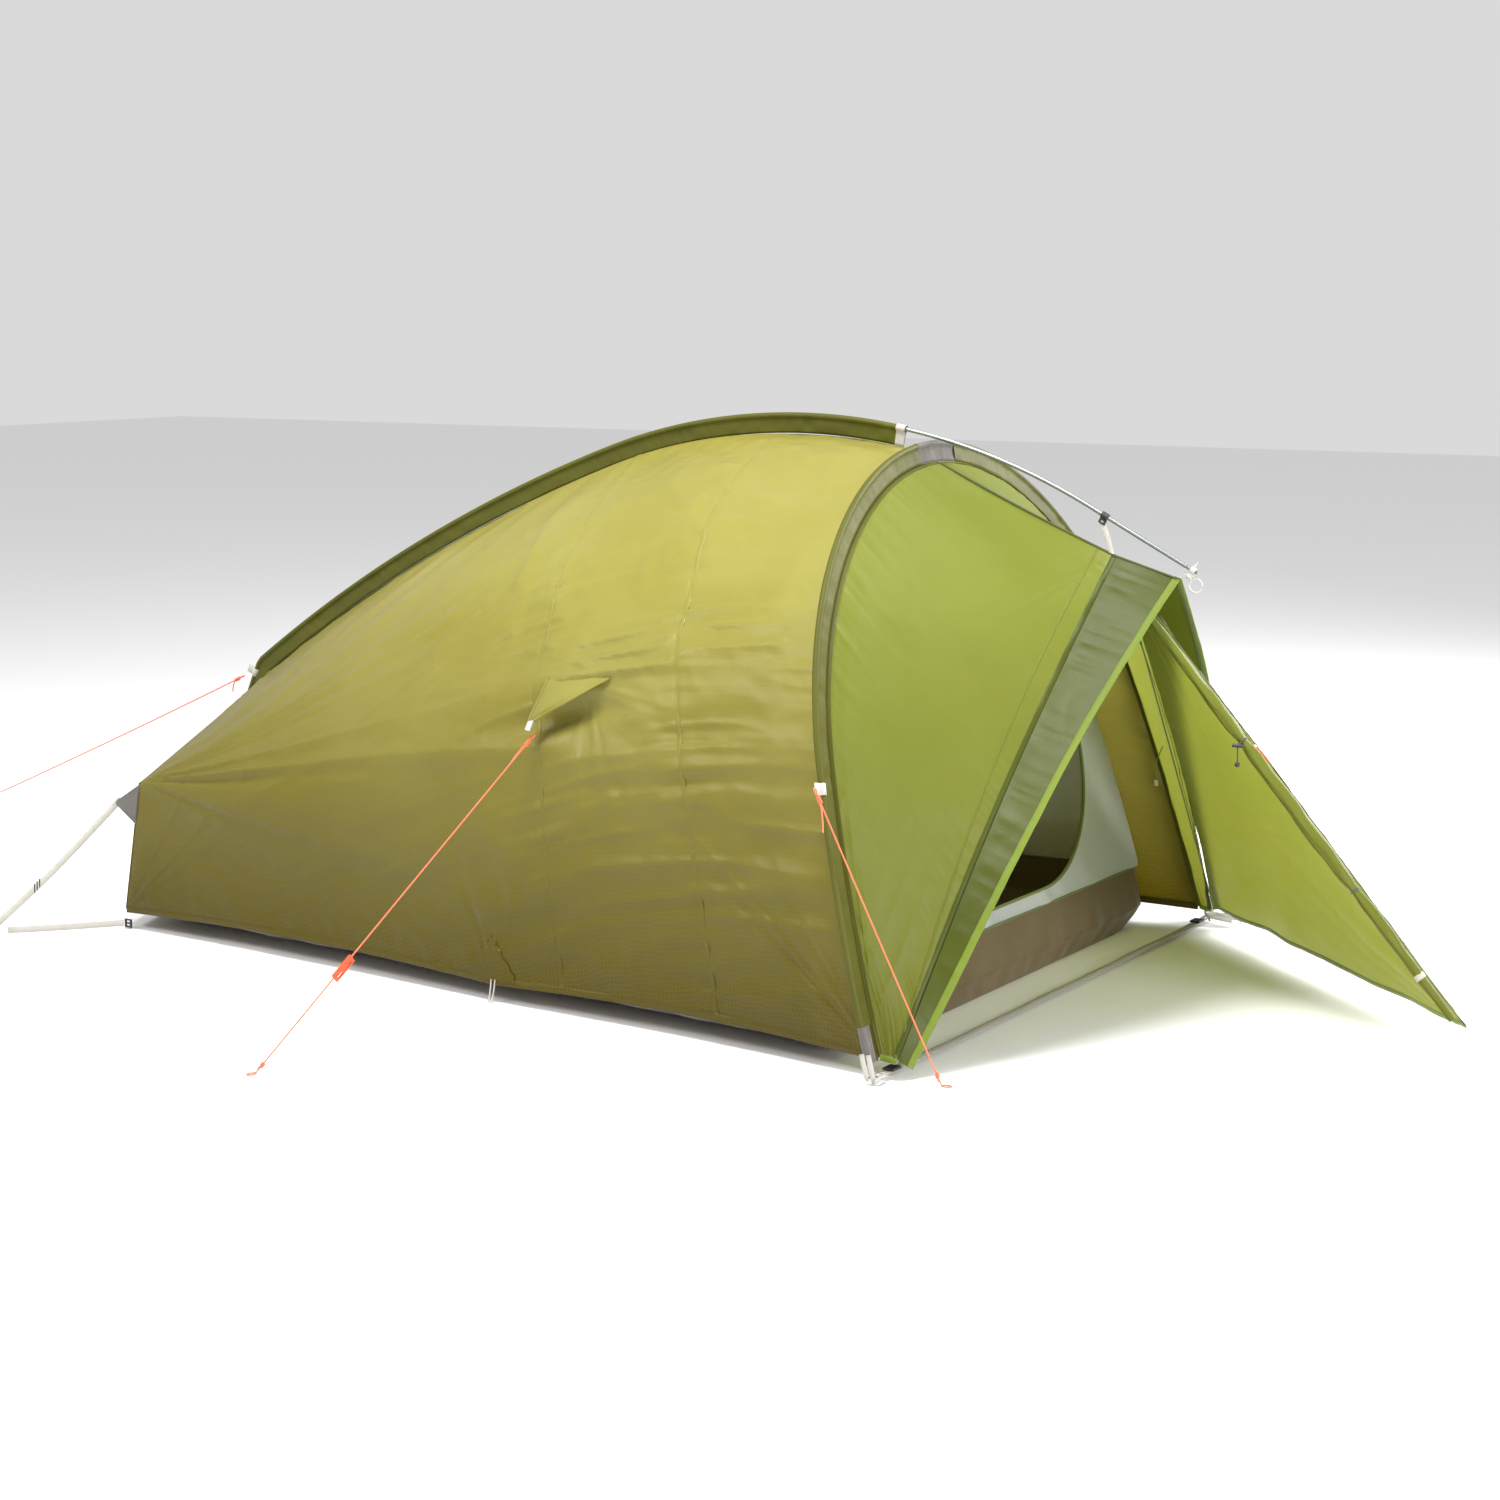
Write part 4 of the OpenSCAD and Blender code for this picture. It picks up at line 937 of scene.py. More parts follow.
def ridge_line(start, stop_before_foot):
    """The ridge pole's axis from a length on the ridge, round the elbow, to near its rear foot."""
    rear = ridge_point(np.linspace(start, RIDGE_L - ELBOW_CUT, 520))
    from_ridge = np.array([math.cos(REAR_SLOPE), 0, math.sin(REAR_SLOPE)])
    below = np.array([math.sin(REAR_SLOPE), 0, -math.cos(REAR_SLOPE)])
    centre = ELBOW + ELBOW_CUT * from_ridge + ELBOW_R * below
    a = np.linspace(math.pi / 2 + REAR_SLOPE, math.pi / 2 + FOOT_SLOPE, 14)[1:]
    bend = centre + ELBOW_R * np.stack([np.cos(a), 0 * a, np.sin(a)], -1)
    k = np.linspace(ELBOW_CUT, FOOT_L - stop_before_foot, 120)[1:]
    return np.concatenate([rear, bend, ELBOW + FOOT_DIR * k[:, None]])


SLEEVE_START = CROSSING_L + 0.082


def hoop_line(a, b, count):
    """The hoop's axis between two places, where -1 is the left foot, 0 the top and 1 the right foot."""
    q = np.linspace(a, b, count)
    left_half = hoop_point(q, -1.0)
    right_half = hoop_point(q, 1.0)
    return np.where(column(q) < 0, left_half, right_half)


HOOP_NORMAL = np.array([math.cos(HOOP_LEAN), 0, math.sin(HOOP_LEAN)])


def hoop_sleeve_piece(name, a, b, material, seed, count=240, **shape):
    return sleeve(name, hoop_line(a, b, count), HOOP_NORMAL, material, seed, **shape)


PATCH_Q = 0.080 / HOOP_L
POCKET_Q = 1 - 0.110 / HOOP_L
POCKET_END_Q = 1 - 0.040 / HOOP_L
PATCH_LAP = 1.02


def ridge_sleeve():
    path = ridge_line(SLEEVE_START, 0.055)
    obj = sleeve("ridge_sleeve_cloth", path, (0, 1, 0), SLEEVE, 31)
    place(obj, "tent", "sleeve_olive", "ridge_sleeve")


def hoop_sleeve():
    halves = [hoop_sleeve_piece("hoop_sleeve_cloth", a, b, SLEEVE, 41)
              for a, b in ((-POCKET_Q, -PATCH_Q), (PATCH_Q, POCKET_Q))]
    place(joined("hoop_sleeve_cloth", halves), "tent", "sleeve_olive", "hoop_sleeve")


def crossing_patch():
    reach = PATCH_Q * PATCH_LAP
    obj = hoop_sleeve_piece("crossing_patch_cloth", -reach, reach, GREY_PATCH, 47, 60, r=0.0070)
    place(obj, "tent", "patch_grey", "crossing_patch")


def sleeve_seams():
    """The flat tape that covers the seams inside the fly, under the hoop and under the ridge."""
    section = tape_profile(0.015, 0.0012)
    off = FIN_FOOT + 0.0012
    tapes = [sweep("hoop_seam", hoop_point(np.linspace(0, HEM_Q, 200), side, off), section, (1, 0, 0), SLEEVE)
             for side in (-1, 1)]
    ridge = ridge_point(np.linspace(CROSSING_L + 0.004, RIDGE_L, 200), off)
    tapes.append(sweep("ridge_seam", ridge, section, (0, 1, 0), SLEEVE))
    place(joined("sleeve_seams_tape", tapes), "tent", "sleeve_olive")


def foot_pockets():
    name = "hoop_foot_pockets_cloth"
    pockets = [hoop_sleeve_piece(name, a, b, POCKET_GREY, 53, 30, r=0.0074, reach=0.026)
               for a, b in ((-POCKET_END_Q, -POCKET_Q), (POCKET_Q, POCKET_END_Q))]
    place(joined(name, pockets), "tent", "patch_grey", "hoop_foot_pockets")


def mirrored_wall(centre, edge, count):
    """A grid from the left edge over the centre line to the right edge, given the right edge."""
    k = np.linspace(0, 1, count)[:, None, None]
    left_half, right_half = (lerp(centre, edge * [1, side, 1], k) for side in (-1.0, 1.0))
    return np.concatenate([left_half[::-1], right_half[1:]])


def fly_rear_wall():
    """The rear wall hangs between the ridge pole's foot section and both rear corners."""
    gap, centre_gap = 0.003, 0.009
    v = np.linspace(0, 1, 70)[None, :, None]
    centre = lerp(RIDGE_REAR_LOW + [centre_gap, 0, -centre_gap], REAR_FOOT + [0.072, 0, HEM_Z], v)
    edge = lerp(CORNER_TOP, CORNER, v) - np.array([gap, 0, 0]) - gap * (1 - v) * [0, 0, 1]
    g = mirrored_wall(centre, edge, 60)
    fields = arc_lengths(g)
    height = crinkle(*fields, 71) + 0.003 * noise2(fields[0] / 0.3, fields[1] / 0.09, 72)
    for u, v0, angle in ((0, 0, 0.7), (1, 0, 2.4), (0.5, 0, 1.57), (0.5, 1, -1.57)):
        height += fan(*fields, spot(fields, u, v0), angle, 0.7, 5, 0.006, 0.3, 73)
    along, down = fields
    g = displaced(g, height * np.clip(from_edge(along, down) / EDGE_FADE, 0, 1))
    obj = cloth_mesh("fly_rear_cloth", g, OLIVE, flip=True)
    place(obj, "tent", "fly_olive", "fly_rear")
    declare_sheet(obj, g)


fly_left_grid = fly_side(-1, 100)
fly_right_grid = fly_side(1, 200)
fly_rear_wall()
ridge_sleeve()
hoop_sleeve()
crossing_patch()
sleeve_seams()
foot_pockets()

# ---------- vestibule ----------

ZIP_FOOT = np.array([HOOP_X + 0.022, 0.762, HEM_Z - 0.006])
ZIP_TOP = np.array([1.194, 0.0, 0.927])
HOOD_FOOT = np.array([HOOP_X + 0.040, 0.742, HEM_Z - 0.022])
HOOD_TOP = np.array([1.328, 0.0, 0.888])
ZIP_BELLY = 0.036
SADDLE_Z = 1.010


def zip_point(v):
    """The line of the side zip, from the brow to the hoop's foot."""
    v = column(v)
    belly = ZIP_BELLY * np.sin(math.pi * v) * unit([0.1, 1, 0.8])
    return lerp(ZIP_TOP + [0, 0.004, 0], ZIP_FOOT, v) + belly


def hood_edge(v):
    """The free edge of the hood over the zip."""
    v = column(v)
    flare = 0.040 * np.sin(math.pi * v) * (1 - v) * unit([0, 1, 0.6])
    belly = ZIP_BELLY * np.sin(math.pi * v) * unit([0.3, 1, 0.5])
    return lerp(HOOD_TOP + [0, 0.004, 0], HOOD_FOOT, v) + flare + belly


def corner_patch(g, side):
    """The triangle of doubled cloth inside the lower corner, where the zip ends."""
    n, m = g.shape[:2]
    wide, tall = 46, 34
    rows = []
    for reach in np.linspace(0.02, 1, 16):
        shares = np.linspace(0, 1, 16)
        rows.append([g[n - 1 - int(round(wide * reach * (1 - k))), m - 1 - int(round(tall * reach * k))]
                     for k in shares])
    return cloth_mesh("corner_patch", np.array(rows) - [0, 0.0022 * side, 0.0], SLEEVE)


def vestibule_side(side, seed):
    """One half of the vestibule, between the hoop and the side zip."""
    n, m, finer = 34, 60, 5

    def front(v):
        return hoop_point(np.asarray(v) * HEM_Q, -1, FIN_FOOT, SEAM)

    def zipped(v):
        return left(zip_point(v))

    def top(u):
        a, b = front(np.array([0.0]))[0], zipped(np.array([0.0]))[0]
        pull = np.array([(HOOP_TOP_X + ZIP_TOP[0]) / 2, -SEAM, SADDLE_Z])
        t = column(u)
        return (1 - t) ** 2 * a + 2 * t * (1 - t) * pull + t * t * b

    def bottom(u):
        return lerp(front(1.0), zipped(np.array([1.0]))[0], column(u))

    g = patch(n, m, front, zipped, top, bottom)
    g = refine(settle(g, frame_of(n, m), slack=0.0012, frames=30, folds=0.15), finer)
    fields = arc_lengths(g)
    along, down = fields
    height = 0.25 * crinkle(along, down, seed)
    to_edge = along[-1:] - along
    low = np.clip(down / down[:, -1:] * 1.6 - 0.5, 0, 1)
    height += 0.0036 * low * creases(down / 0.60 + 4, to_edge / 0.045 + 2, seed + 3)
    height += fan(along, down, spot(fields, 0.5, 1.0), -1.57, 0.45, 6, 0.010, 0.40, seed + 5)
    height += fan(along, down, spot(fields, 1.0, 0.0), 2.2, 0.6, 5, 0.004, 0.30, seed + 6)
    height += puckers(along, down, 0.0020, 0.030, 0.05, seed + 7)
    height += puckers(to_edge, down, 0.0024, 0.022, 0.04, seed + 9)
    g = displaced(g, -height * np.clip(from_edge(along, down) / EDGE_FADE, 0, 1))
    g = mirrored(g, side)
    node = "vestibule_left" if side < 0 else "vestibule_right"
    obj = cloth_mesh(node + "_cloth", g, GREEN)
    place(obj, "tent", "vestibule_green", node)
    declare_sheet(obj, g)
    trims = [
        seam_tape(g, len(g) - 1, STRIP, 0.016 if side < 0 else 0.005),
        seam_tape(g, len(g) - 16, GREEN, 0.005, 0.0009),
        edge_tape(g[:, -1], g[:, -1] - g[:, -3], 0.012, BINDING),
        corner_patch(g, side),
    ]
    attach(joined(node + "_trim", trims), "tent")


DOOR_TOP = np.array([ZIP_TOP[0] + 0.026, 0, ZIP_TOP[2] - 0.040])
DOOR_TIP = np.array([1.975, 0.0, HEM_Z - 0.020])
HINGE_TOP = DOOR_TOP + [-0.014, 0.016, 0.004]
HINGE_FOOT = ZIP_FOOT + [0.014, -0.004, -0.002]
CENTRE_SHIFT = np.array([0, 0.006, 0])
DOOR_OUT = unit(np.cross(DOOR_TIP - DOOR_TOP, HINGE_FOOT - HINGE_TOP))
HINGE_DIR = unit(HINGE_FOOT - HINGE_TOP)
TO_TIP = DOOR_TIP - HINGE_TOP
ACROSS_HINGE = unit(TO_TIP - HINGE_DIR * (TO_TIP @ HINGE_DIR))


def door_hinge(v):
    """A point of the line that the door swings about, v of the way down."""
    return lerp(HINGE_TOP, HINGE_FOOT, column(v))


def door_centre(v):
    """A point of the line where the door's two halves meet, v of the way down."""
    return lerp(DOOR_TOP, DOOR_TIP, column(v)) + CENTRE_SHIFT


HOOD_CLEAR = 0.024
SLIDER_V = 0.96


def hood_folds(along, down, seed):
    """The hood's folds, which fade out towards the zip."""
    height = crinkle(along, down, seed) + puckers(along, down, 0.003, 0.024, 0.05, seed + 1)
    height += 0.004 * noise2(along / 0.2, down / 0.16, seed + 2) * along / 0.15
    return height * np.clip(along / 0.03, 0, 1)


def hood(node, g, flip=False):
    """A hood's cloth and the binding on its free edge."""
    obj = cloth_mesh(node + "_cloth", g, STRIP, flip)
    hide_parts(node)
    declare_sheet(obj, g)
    binding = edge_tape(g[-1], g[-1] - g[-3], 0.015, BINDING)
    binding.name = node + "_binding"
    return obj, binding


def hood_left():
    """The hood over the open half of the door, hanging loose."""
    v = np.linspace(0, 1, 260)
    u = np.linspace(0, 1, 30)[:, None, None]
    g = lerp(left(zip_point(v) + [0.004, 0, 0])[None], left(hood_edge(v))[None], u)
    g = displaced(g, hood_folds(*arc_lengths(g), 301))
    for piece in hood("hood_left", g):
        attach(piece, "tent")


def hood_right():
    """The hood over the closed half of the door, bulging round the zip's slider."""
    v = np.linspace(0, 1, 260)
    u = np.linspace(0, 1, 30)[:, None, None]
    outer = hood_edge(v) + HOOD_CLEAR * v[:, None] * DOOR_OUT
    g = lerp((zip_point(v) + [0.004, 0, 0])[None], outer[None], u)
    round_slider = np.exp(-(((v - SLIDER_V) / 0.05) ** 2))[None, :, None]
    g = g + 0.012 * round_slider * np.clip(u * 5, 0, 1) * DOOR_OUT
    along, down = arc_lengths(g)
    calm_at_foot = np.clip((down[:, -1:] - down) / 0.12 - 0.4, 0, 1)
    g = displaced(g, -hood_folds(along, down, 311) * calm_at_foot)
    for piece in hood("hood_right", g, flip=True):
        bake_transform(piece)


def vestibule_top_seam():
    """Closes the two vestibule halves and the two hoods along the middle."""
    t = np.linspace(0, 1, 60)[:, None]
    start = hoop_point(0.0, 1, FIN_FOOT, SEAM) * [1, 0, 1]
    pull = np.array([(HOOP_TOP_X + ZIP_TOP[0]) / 2, 0, SADDLE_Z])
    bow = (1 - t) ** 2 * start + 2 * t * (1 - t) * pull + t * t * ZIP_TOP
    brow = lerp(ZIP_TOP, HOOD_TOP, np.linspace(0.03, 1, 16)[:, None])
    path = np.concatenate([bow, brow]) + [0, 0, 0.0006]
    seam = sweep("vestibule_top_seam", path, tape_profile(0.013, 0.0014), (0, 1, 0), STRIP)
    place(seam, "tent", "vestibule_green")


vestibule_top_seam()
vestibule_side(-1, 320)
vestibule_side(1, 340)
hood_left()
hood_right()

# ---------- door ----------


def door_panel():
    """The closed right half of the door, a triangle that bellies out a little."""
    v = np.linspace(0.03, 0.98, 200)
    u = np.linspace(0.014, 0.98, 140)[:, None, None]
    vv = v[None, :, None]
    g = lerp(door_hinge(v)[None], door_centre(v)[None], u)
    g = g + 0.030 * np.sin(math.pi * vv) * np.sin(math.pi * u) * unit([0.5, 0.6, 0.3])
    fields = arc_lengths(g)
    along, down = fields
    height = crinkle(along, down, 401) + 0.004 * noise2(along / 0.12, down / 0.5, 402)
    height += fan(along, down, spot(fields, 1.0, 1.0), -2.4, 0.5, 6, 0.010, 0.6, 403)
    height += fan(along, down, spot(fields, 0.0, 0.0), 1.2, 0.5, 5, 0.006, 0.4, 404)
    height += puckers(along, down, 0.002, 0.03, 0.05, 405)
    height += puckers(along[-1:] - along, down, 0.003, 0.035, 0.06, 407)
    g = displaced(g, height)
    obj = cloth_mesh("door_right_cloth", g, GREEN, flip=True)
    place(obj, "front_door", "vestibule_green", "door_right")
    declare_sheet(obj, g)
    trims = [
        edge_tape(g[:, -1], g[:, -1] - g[:, -3], 0.012, BINDING),
        edge_tape(g[-1], g[-1] - g[-3], 0.012, STRIP),
    ]
    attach(joined("door_right_trim", trims), "front_door")


TIES = (0.36, 0.68)
KEEPER = 0.86
ROLL_ENDS = (0.05, 0.95)
ROLL_SPAN = 0.90
ROLL_ASIDE = 0.042


def roll_axis(v):
    """The middle of the roll, beside the door's centre line."""
    return door_centre(v) + [0, -ROLL_ASIDE, 0]


def roll_radius(v):
    """The roll is thickest halfway down, because the door is a triangle."""
    return 0.008 + 0.007 * np.sin(math.pi * v)


def roll_share(v):
    """Where a place along the door's centre line lies on the roll, from 0 to 1."""
    return (v - ROLL_ENDS[0]) / ROLL_SPAN


def rolled_door():
    """The left half of the door, rolled up into a spiral and squeezed by its ties."""
    v = np.linspace(*ROLL_ENDS, 240)
    turns = np.linspace(0, 17 * math.pi, 300)
    squeeze = 1 - sum(0.34 * np.exp(-(((v - t) / 0.02) ** 2)) for t in TIES)
    radius = roll_radius(roll_share(v)) * squeeze
    growth = 0.16 + 0.84 * turns / turns[-1]
    turn_x = 5 + 1.6 * np.cos(turns)[None]
    turn_y = 5 + 1.6 * np.sin(turns)[None]
    lumps = 1 + 0.12 * noise2(v[:, None] * 26, turn_x, 421)
    lumps = lumps + 0.12 * noise2(v[:, None] * 30 + 7, turn_y, 422)
    r = radius[:, None] * growth[None] * lumps
    g = swept_grid(roll_axis(v), r * np.cos(turns), r * np.sin(turns), (0, 1, 0))
    obj = cloth_mesh("door_left_rolled_cloth", g, GREEN)
    place(obj, "front_door", "vestibule_green", "door_left_rolled")


door_panel()
rolled_door()

# ---------- webbing, loops and guy points ----------


def strap(name, points, width, across, thick=0.0013):
    """Woven tape along a smooth line through points."""
    return sweep(name, curve_points(points, 6), tape_profile(width, thick), across, WEBBING)


def loop_round(name, at, along, out, reach, width, r=0.0072, gap=0.0009, thick=0.0012):
    """Tape that goes round a pole and ends in a loop, seen along the pole as a keyhole."""
    out = unit(out)
    side = unit(np.cross(along, out))
    a = np.linspace(math.radians(14), math.radians(346), 36)
    circle = np.stack([r * np.cos(a), r * np.sin(a)], -1)
    b = np.linspace(-math.pi / 2, math.pi / 2, 8)
    tip = np.stack([reach - gap * 2 + 2 * gap * np.cos(b), 2 * gap * np.sin(b)], -1)
    neck_in = np.array([[r + 0.003, gap], [reach * 0.6, 2 * gap]])
    flat = np.concatenate([neck_in[::-1], circle, neck_in * [1, -1], tip])
    path = np.asarray(at) + flat[:, :1] * out + flat[:, 1:] * side
    return sweep(name, np.concatenate([path, path[:1]]), tape_profile(width, thick), along, WEBBING)


def sleeve_band():
    """The band that closes the front end of the ridge sleeve."""
    path = ridge_point(np.linspace(SLEEVE_START - 0.016, SLEEVE_START + 0.006, 10))
    obj = sleeve("sleeve_end_band_tape", path, (0, 1, 0), WEBBING, 61, r=0.0078, ruffle=0.0)
    place(obj, "tent", "webbing", "sleeve_end_band")


def guy_loops():
    """The loops round the poles that the rear and the hoop guylines are tied to."""
    away = unit(np.cross(FOOT_DIR, [0, -1, 0]))
    on_pole = ELBOW + FOOT_DIR * (ELBOW_CUT + 0.016)
    rear = loop_round("rear_guy_loop_tape", on_pole, FOOT_DIR, away, 0.026, 0.019)
    place(rear, "tent", "webbing", "rear_guy_loop")
    parts = []
    for side in (-1, 1):
        p, q = hoop_point(0.655, side), hoop_point(0.660, side)
        along = unit(q - p)
        out = unit(np.cross(along, HOOP_NORMAL)) * side
        out = out if out[1] * side > 0 else -out
        parts.append(loop_round("hoop_guy_loops_tape", p, along, out, 0.023, 0.023))
    place(joined("hoop_guy_loops_tape", parts), "tent", "webbing", "hoop_guy_loops")


TAB_OUT = np.array([-0.012, -0.048, -0.082])


def fly_at(u, v):
    """A point of the fly's left side, at fractions of its length and height."""
    n, m = fly_left_grid.shape[:2]
    return fly_left_grid[int(round(u * (n - 1))), int(round(v * (m - 1)))]


def side_tabs():
    """The triangular tabs on the fly's sides, with a doubled tape at their tips."""
    base, front = fly_at(TAB_U[1], TAB_V), fly_at(TAB_U[0], TAB_V)
    tip = base + TAB_OUT
    u, v = (column(t) for t in fractions(22, 26))
    top = lerp(base, front, u)
    low = lerp(tip + [-0.006, 0, 0], tip + [0.008, 0, 0.002], u)
    g = lerp(top, low, v) + 0.006 * np.sin(math.pi * v) * np.sin(math.pi * u) * np.array([0, -1.0, -0.3])
    g = g + np.array([0, -0.003, 0])
    g = displaced(g, 0.0012 * noise2(u[..., 0] * 5 + 0 * v[..., 0], v[..., 0] * 4 + 0 * u[..., 0], 503))
    tabs, loops = [], []
    for side in (-1, 1):
        cloth = mirrored(g, side)
        pieces = [cloth_mesh("side_guy_tabs_cloth", cloth, TAB_OLIVE)]
        for edge, inner in ((cloth[0], cloth[2]), (cloth[-1], cloth[-3])):
            pieces.append(edge_tape(edge, edge - inner, 0.006, TAB_OLIVE, 0.0022))
        tabs.append(joined("side_guy_tabs_cloth", pieces))
        out = unit(TAB_OUT) * [1, -side, 1]
        start = (tip - unit(TAB_OUT) * 0.012) * [1, -side, 1]
        normal = unit(np.cross(out, [1, 0, 0]))
        layers = []
        for d in (-0.0012, 0.0012):
            lift = normal * d
            run = [start + lift, start + out * 0.018 + lift, start + out * 0.035 + lift * 0.4]
            layers.append(strap("layer", run, 0.013, (1, 0, 0)))
        loops.append(joined("side_guy_loops_tape", layers))
    place(joined("side_guy_tabs_cloth", tabs), "tent", "fly_olive", "side_guy_tabs")
    place(joined("side_guy_loops_tape", loops), "tent", "webbing", "side_guy_loops")


GUSSET_TIP = CORNER + [0.002, 0.020, 0.253]
PEG_POINT = CORNER + [-0.190, 0.258, 0.0015 - HEM_Z]


def rear_gussets():
    """Three layers of cloth that gather each rear corner to a point."""
    u, v = (column(t) for t in fractions(20, 20))
    top = CORNER_TOP + [0.002, 0.001, -0.004]
    low = lerp(CORNER_TOP, CORNER, 0.33) + [0.002, 0.001, 0]
    g = lerp(lerp(top, low, v), lerp(GUSSET_TIP + [0, 0, 0.006], GUSSET_TIP - [0, 0, 0.006], v), u)
    parts = []
    for side in (-1, 1):
        for layer in range(3):
            shrink = 1 - 0.16 * layer
            h = lerp(g[:, 10:11], g, shrink) + np.array([-0.0006, 0.0012, 0]) * layer
            parts.append(cloth_mesh("gusset", mirrored(h, side), POCKET_GREY))
    place(joined("rear_corner_gussets_cloth", parts), "tent", "patch_grey", "rear_corner_gussets")


def rear_straps():
    """From each rear corner one strap runs from the gusset and one from the hem, to one peg point."""
    pull = unit(PEG_POINT - GUSSET_TIP)
    joint = lerp(PEG_POINT, GUSSET_TIP, 0.1)
    start = GUSSET_TIP - pull * 0.012
    from_gusset = [start, lerp(start, PEG_POINT, 0.5) - UP * 0.004, PEG_POINT + [0, 0, 0.009]]
    low_start = CORNER + [-0.008, 0.003, 0.012 - HEM_Z]
    low_end = joint + [0.014, -0.014, -0.012]
    from_hem = [low_start, lerp(low_start, low_end, 0.5) - UP * 0.001, low_end]
    tail = [joint + pull * 0.004, joint + [0.006, 0.020, -0.018], joint + [0.022, 0.030, -0.026]]
    lock = lerp(start, PEG_POINT, 0.62)
    parts = []
    for side in (-1, 1):
        for run, width in ((from_gusset, 0.015), (from_hem, 0.015), (tail, 0.010)):
            parts.append(strap("strap", mirrored(np.array(run), side), width, UP))
        for d in (-0.008, 0.0, 0.008):
            bar = [lock + pull * d - UP * 0.010, lock + pull * d + UP * 0.010]
            parts.append(tube("bar", mirrored(np.array(bar), side), 0.0016, BLACK, 8, (1, 0, 0)))
    place(joined("rear_corner_straps_tape", parts), "tent", "webbing", "rear_corner_straps")


def hem_loops():
    """A cord loop at the middle of each side's hem, for a peg."""
    p = fly_at(PEG_U, 1.0)
    foot = p + [0, -0.013, 0.0052 - p[2]]
    a = np.linspace(0, math.pi, 14)[:, None]
    bend = foot + np.array([0.004, 0, 0]) * np.cos(a) - UP * 0.003 * np.sin(a)
    halfway = lerp(p, foot, 0.5)
    down = [p + [0.005, -0.002, 0.004], halfway + [0.0045, 0, 0]]
    up = [halfway - [0.0045, 0, 0], p + [-0.005, -0.002, 0.004]]
    path = np.concatenate([down, bend, up])
    loops = [tube("loop", curve_points(mirrored(path, side), 3), 0.0016, WEBBING, 8, (0, 1, 0))
             for side in (-1, 1)]
    place(joined("hem_peg_loops_cord", loops), "tent", "webbing", "hem_peg_loops")


def hem_patch(side):
    """The stitched triangle of doubled cloth above a peg loop."""
    n, m = fly_left_grid.shape[:2]
    grid = fly_left_grid if side < 0 else fly_right_grid
    middle, half, rise = int(PEG_U * (n - 1)), 11, 18
    rows = []
    for k in np.linspace(0, 1, 15):
        column_at = int(round(m - 1 - rise * (1 - k)))
        reach = half * (0.12 + 0.88 * k)
        span = np.linspace(-reach, reach, 15)
        rows.append([grid[int(round(middle + d)), column_at] for d in span])
    g = np.array(rows)
    return cloth_mesh("hem_patch", displaced(g, np.full(g.shape[:2], 0.0024 * side)), OLIVE)


def coiled_tail():
    """The long end of the base strap, left in loose loops beside the right foot."""
    foot = hoop_point(1.0, 1)
    a = np.linspace(0, 1.7 * math.pi, 40)[:, None]
    parts = []
    for k, size in enumerate((0.044, 0.036, 0.048)):
        middle = foot + [0.040 + 0.020 * k, -0.012 + 0.010 * k, 0.010]
        turn = a + 0.9 * k
        loop = np.cos(turn) * [size, 0, 0] + np.sin(turn) * [0, size * 0.45, 0]
        path = middle + loop + 0.010 * np.sin(a / 2) * UP
        parts.append(sweep("tail", path, tape_profile(0.010, 0.0012), UP, WEBBING))
    return parts


def base_strap():
    """The strap that ties the hoop's two feet together along the ground."""
    reach = HOOP_HALF - 0.034
    y = np.linspace(-reach, reach, 90)
    z = strap_low.z + 0.00075 + 0.0012 * smooth_noise(y / 0.09, 521) - 0.004 * np.cos(y / reach * math.pi / 2)
    path = np.stack([np.full_like(y, (strap_low.x + strap_high.x) / 2), y, z], -1)
    base = sweep("base_strap_tape", path, tape_profile(0.020, 0.0014), (1, 0, 0), WEBBING_DARK)
    place(joined("base_strap_tape", [base] + coiled_tail()), "tent", "webbing", "base_strap")


def foot_grommets():
    """The doubled webbing and eyelets that take the poles' pins."""
    parts = []
    for side in (-1, 1):
        foot = hoop_point(1.0, side)
        up = unit(hoop_point(0.9, side) - foot)
        out = np.array([0, side, 0.0])
        for d in (-0.007, 0.007):
            shift = np.array([d, 0, 0])
            run = [
                foot + up * 0.060 + out * 0.009 + shift,
                foot + up * 0.030 + out * 0.0095 + shift,
                foot + up * 0.014 + out * 0.008 + shift,
                foot + [0, side * 0.003, 0.014] + shift,
                foot + [0, -side * 0.030, 0.0135] + shift,
            ]
            parts.append(strap("foot_strap", run, 0.011, (1, 0, 0)))
        a = np.linspace(0, 2 * math.pi, 25)[:, None]
        eyelet = foot + UP * 0.0155 + 0.0062 * (np.cos(a) * [1, 0, 0] + np.sin(a) * [0, 1, 0])
        parts.append(tube("eyelet", eyelet, 0.0012, ALLOY, 8, (0, 0, 1)))
    tape = [REAR_FOOT + [-0.006, 0, 0.0065], REAR_FOOT + [0.02, 0, 0.0065], REAR_FOOT + [0.06, 0, 0.0068]]
    parts.append(strap("rear_tape", tape, 0.022, (0, 1, 0), 0.0026))
    place(joined("foot_grommets_tape", parts), "tent", "webbing", "foot_grommets")


CLIP_DIR = np.array([math.cos(BROW_SLOPE), 0, -math.sin(BROW_SLOPE)])
CLIP_DOWN = np.array([-math.sin(BROW_SLOPE), 0, -math.cos(BROW_SLOPE)])


def brow_strap():
    """The strap from the clip on the brow pole down to the top of the zip."""
    clip = ridge_point(0.215)
    a = clip + CLIP_DOWN * (POLE_R + 0.010)
    b = ZIP_TOP + [-0.010, 0, 0.003]
    tape = strap("brow_strap_tape", [a, lerp(a, b, 0.5) + CLIP_DIR * 0.002, b], 0.012, CLIP_DIR)
    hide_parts("brow_strap")
    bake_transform(tape)


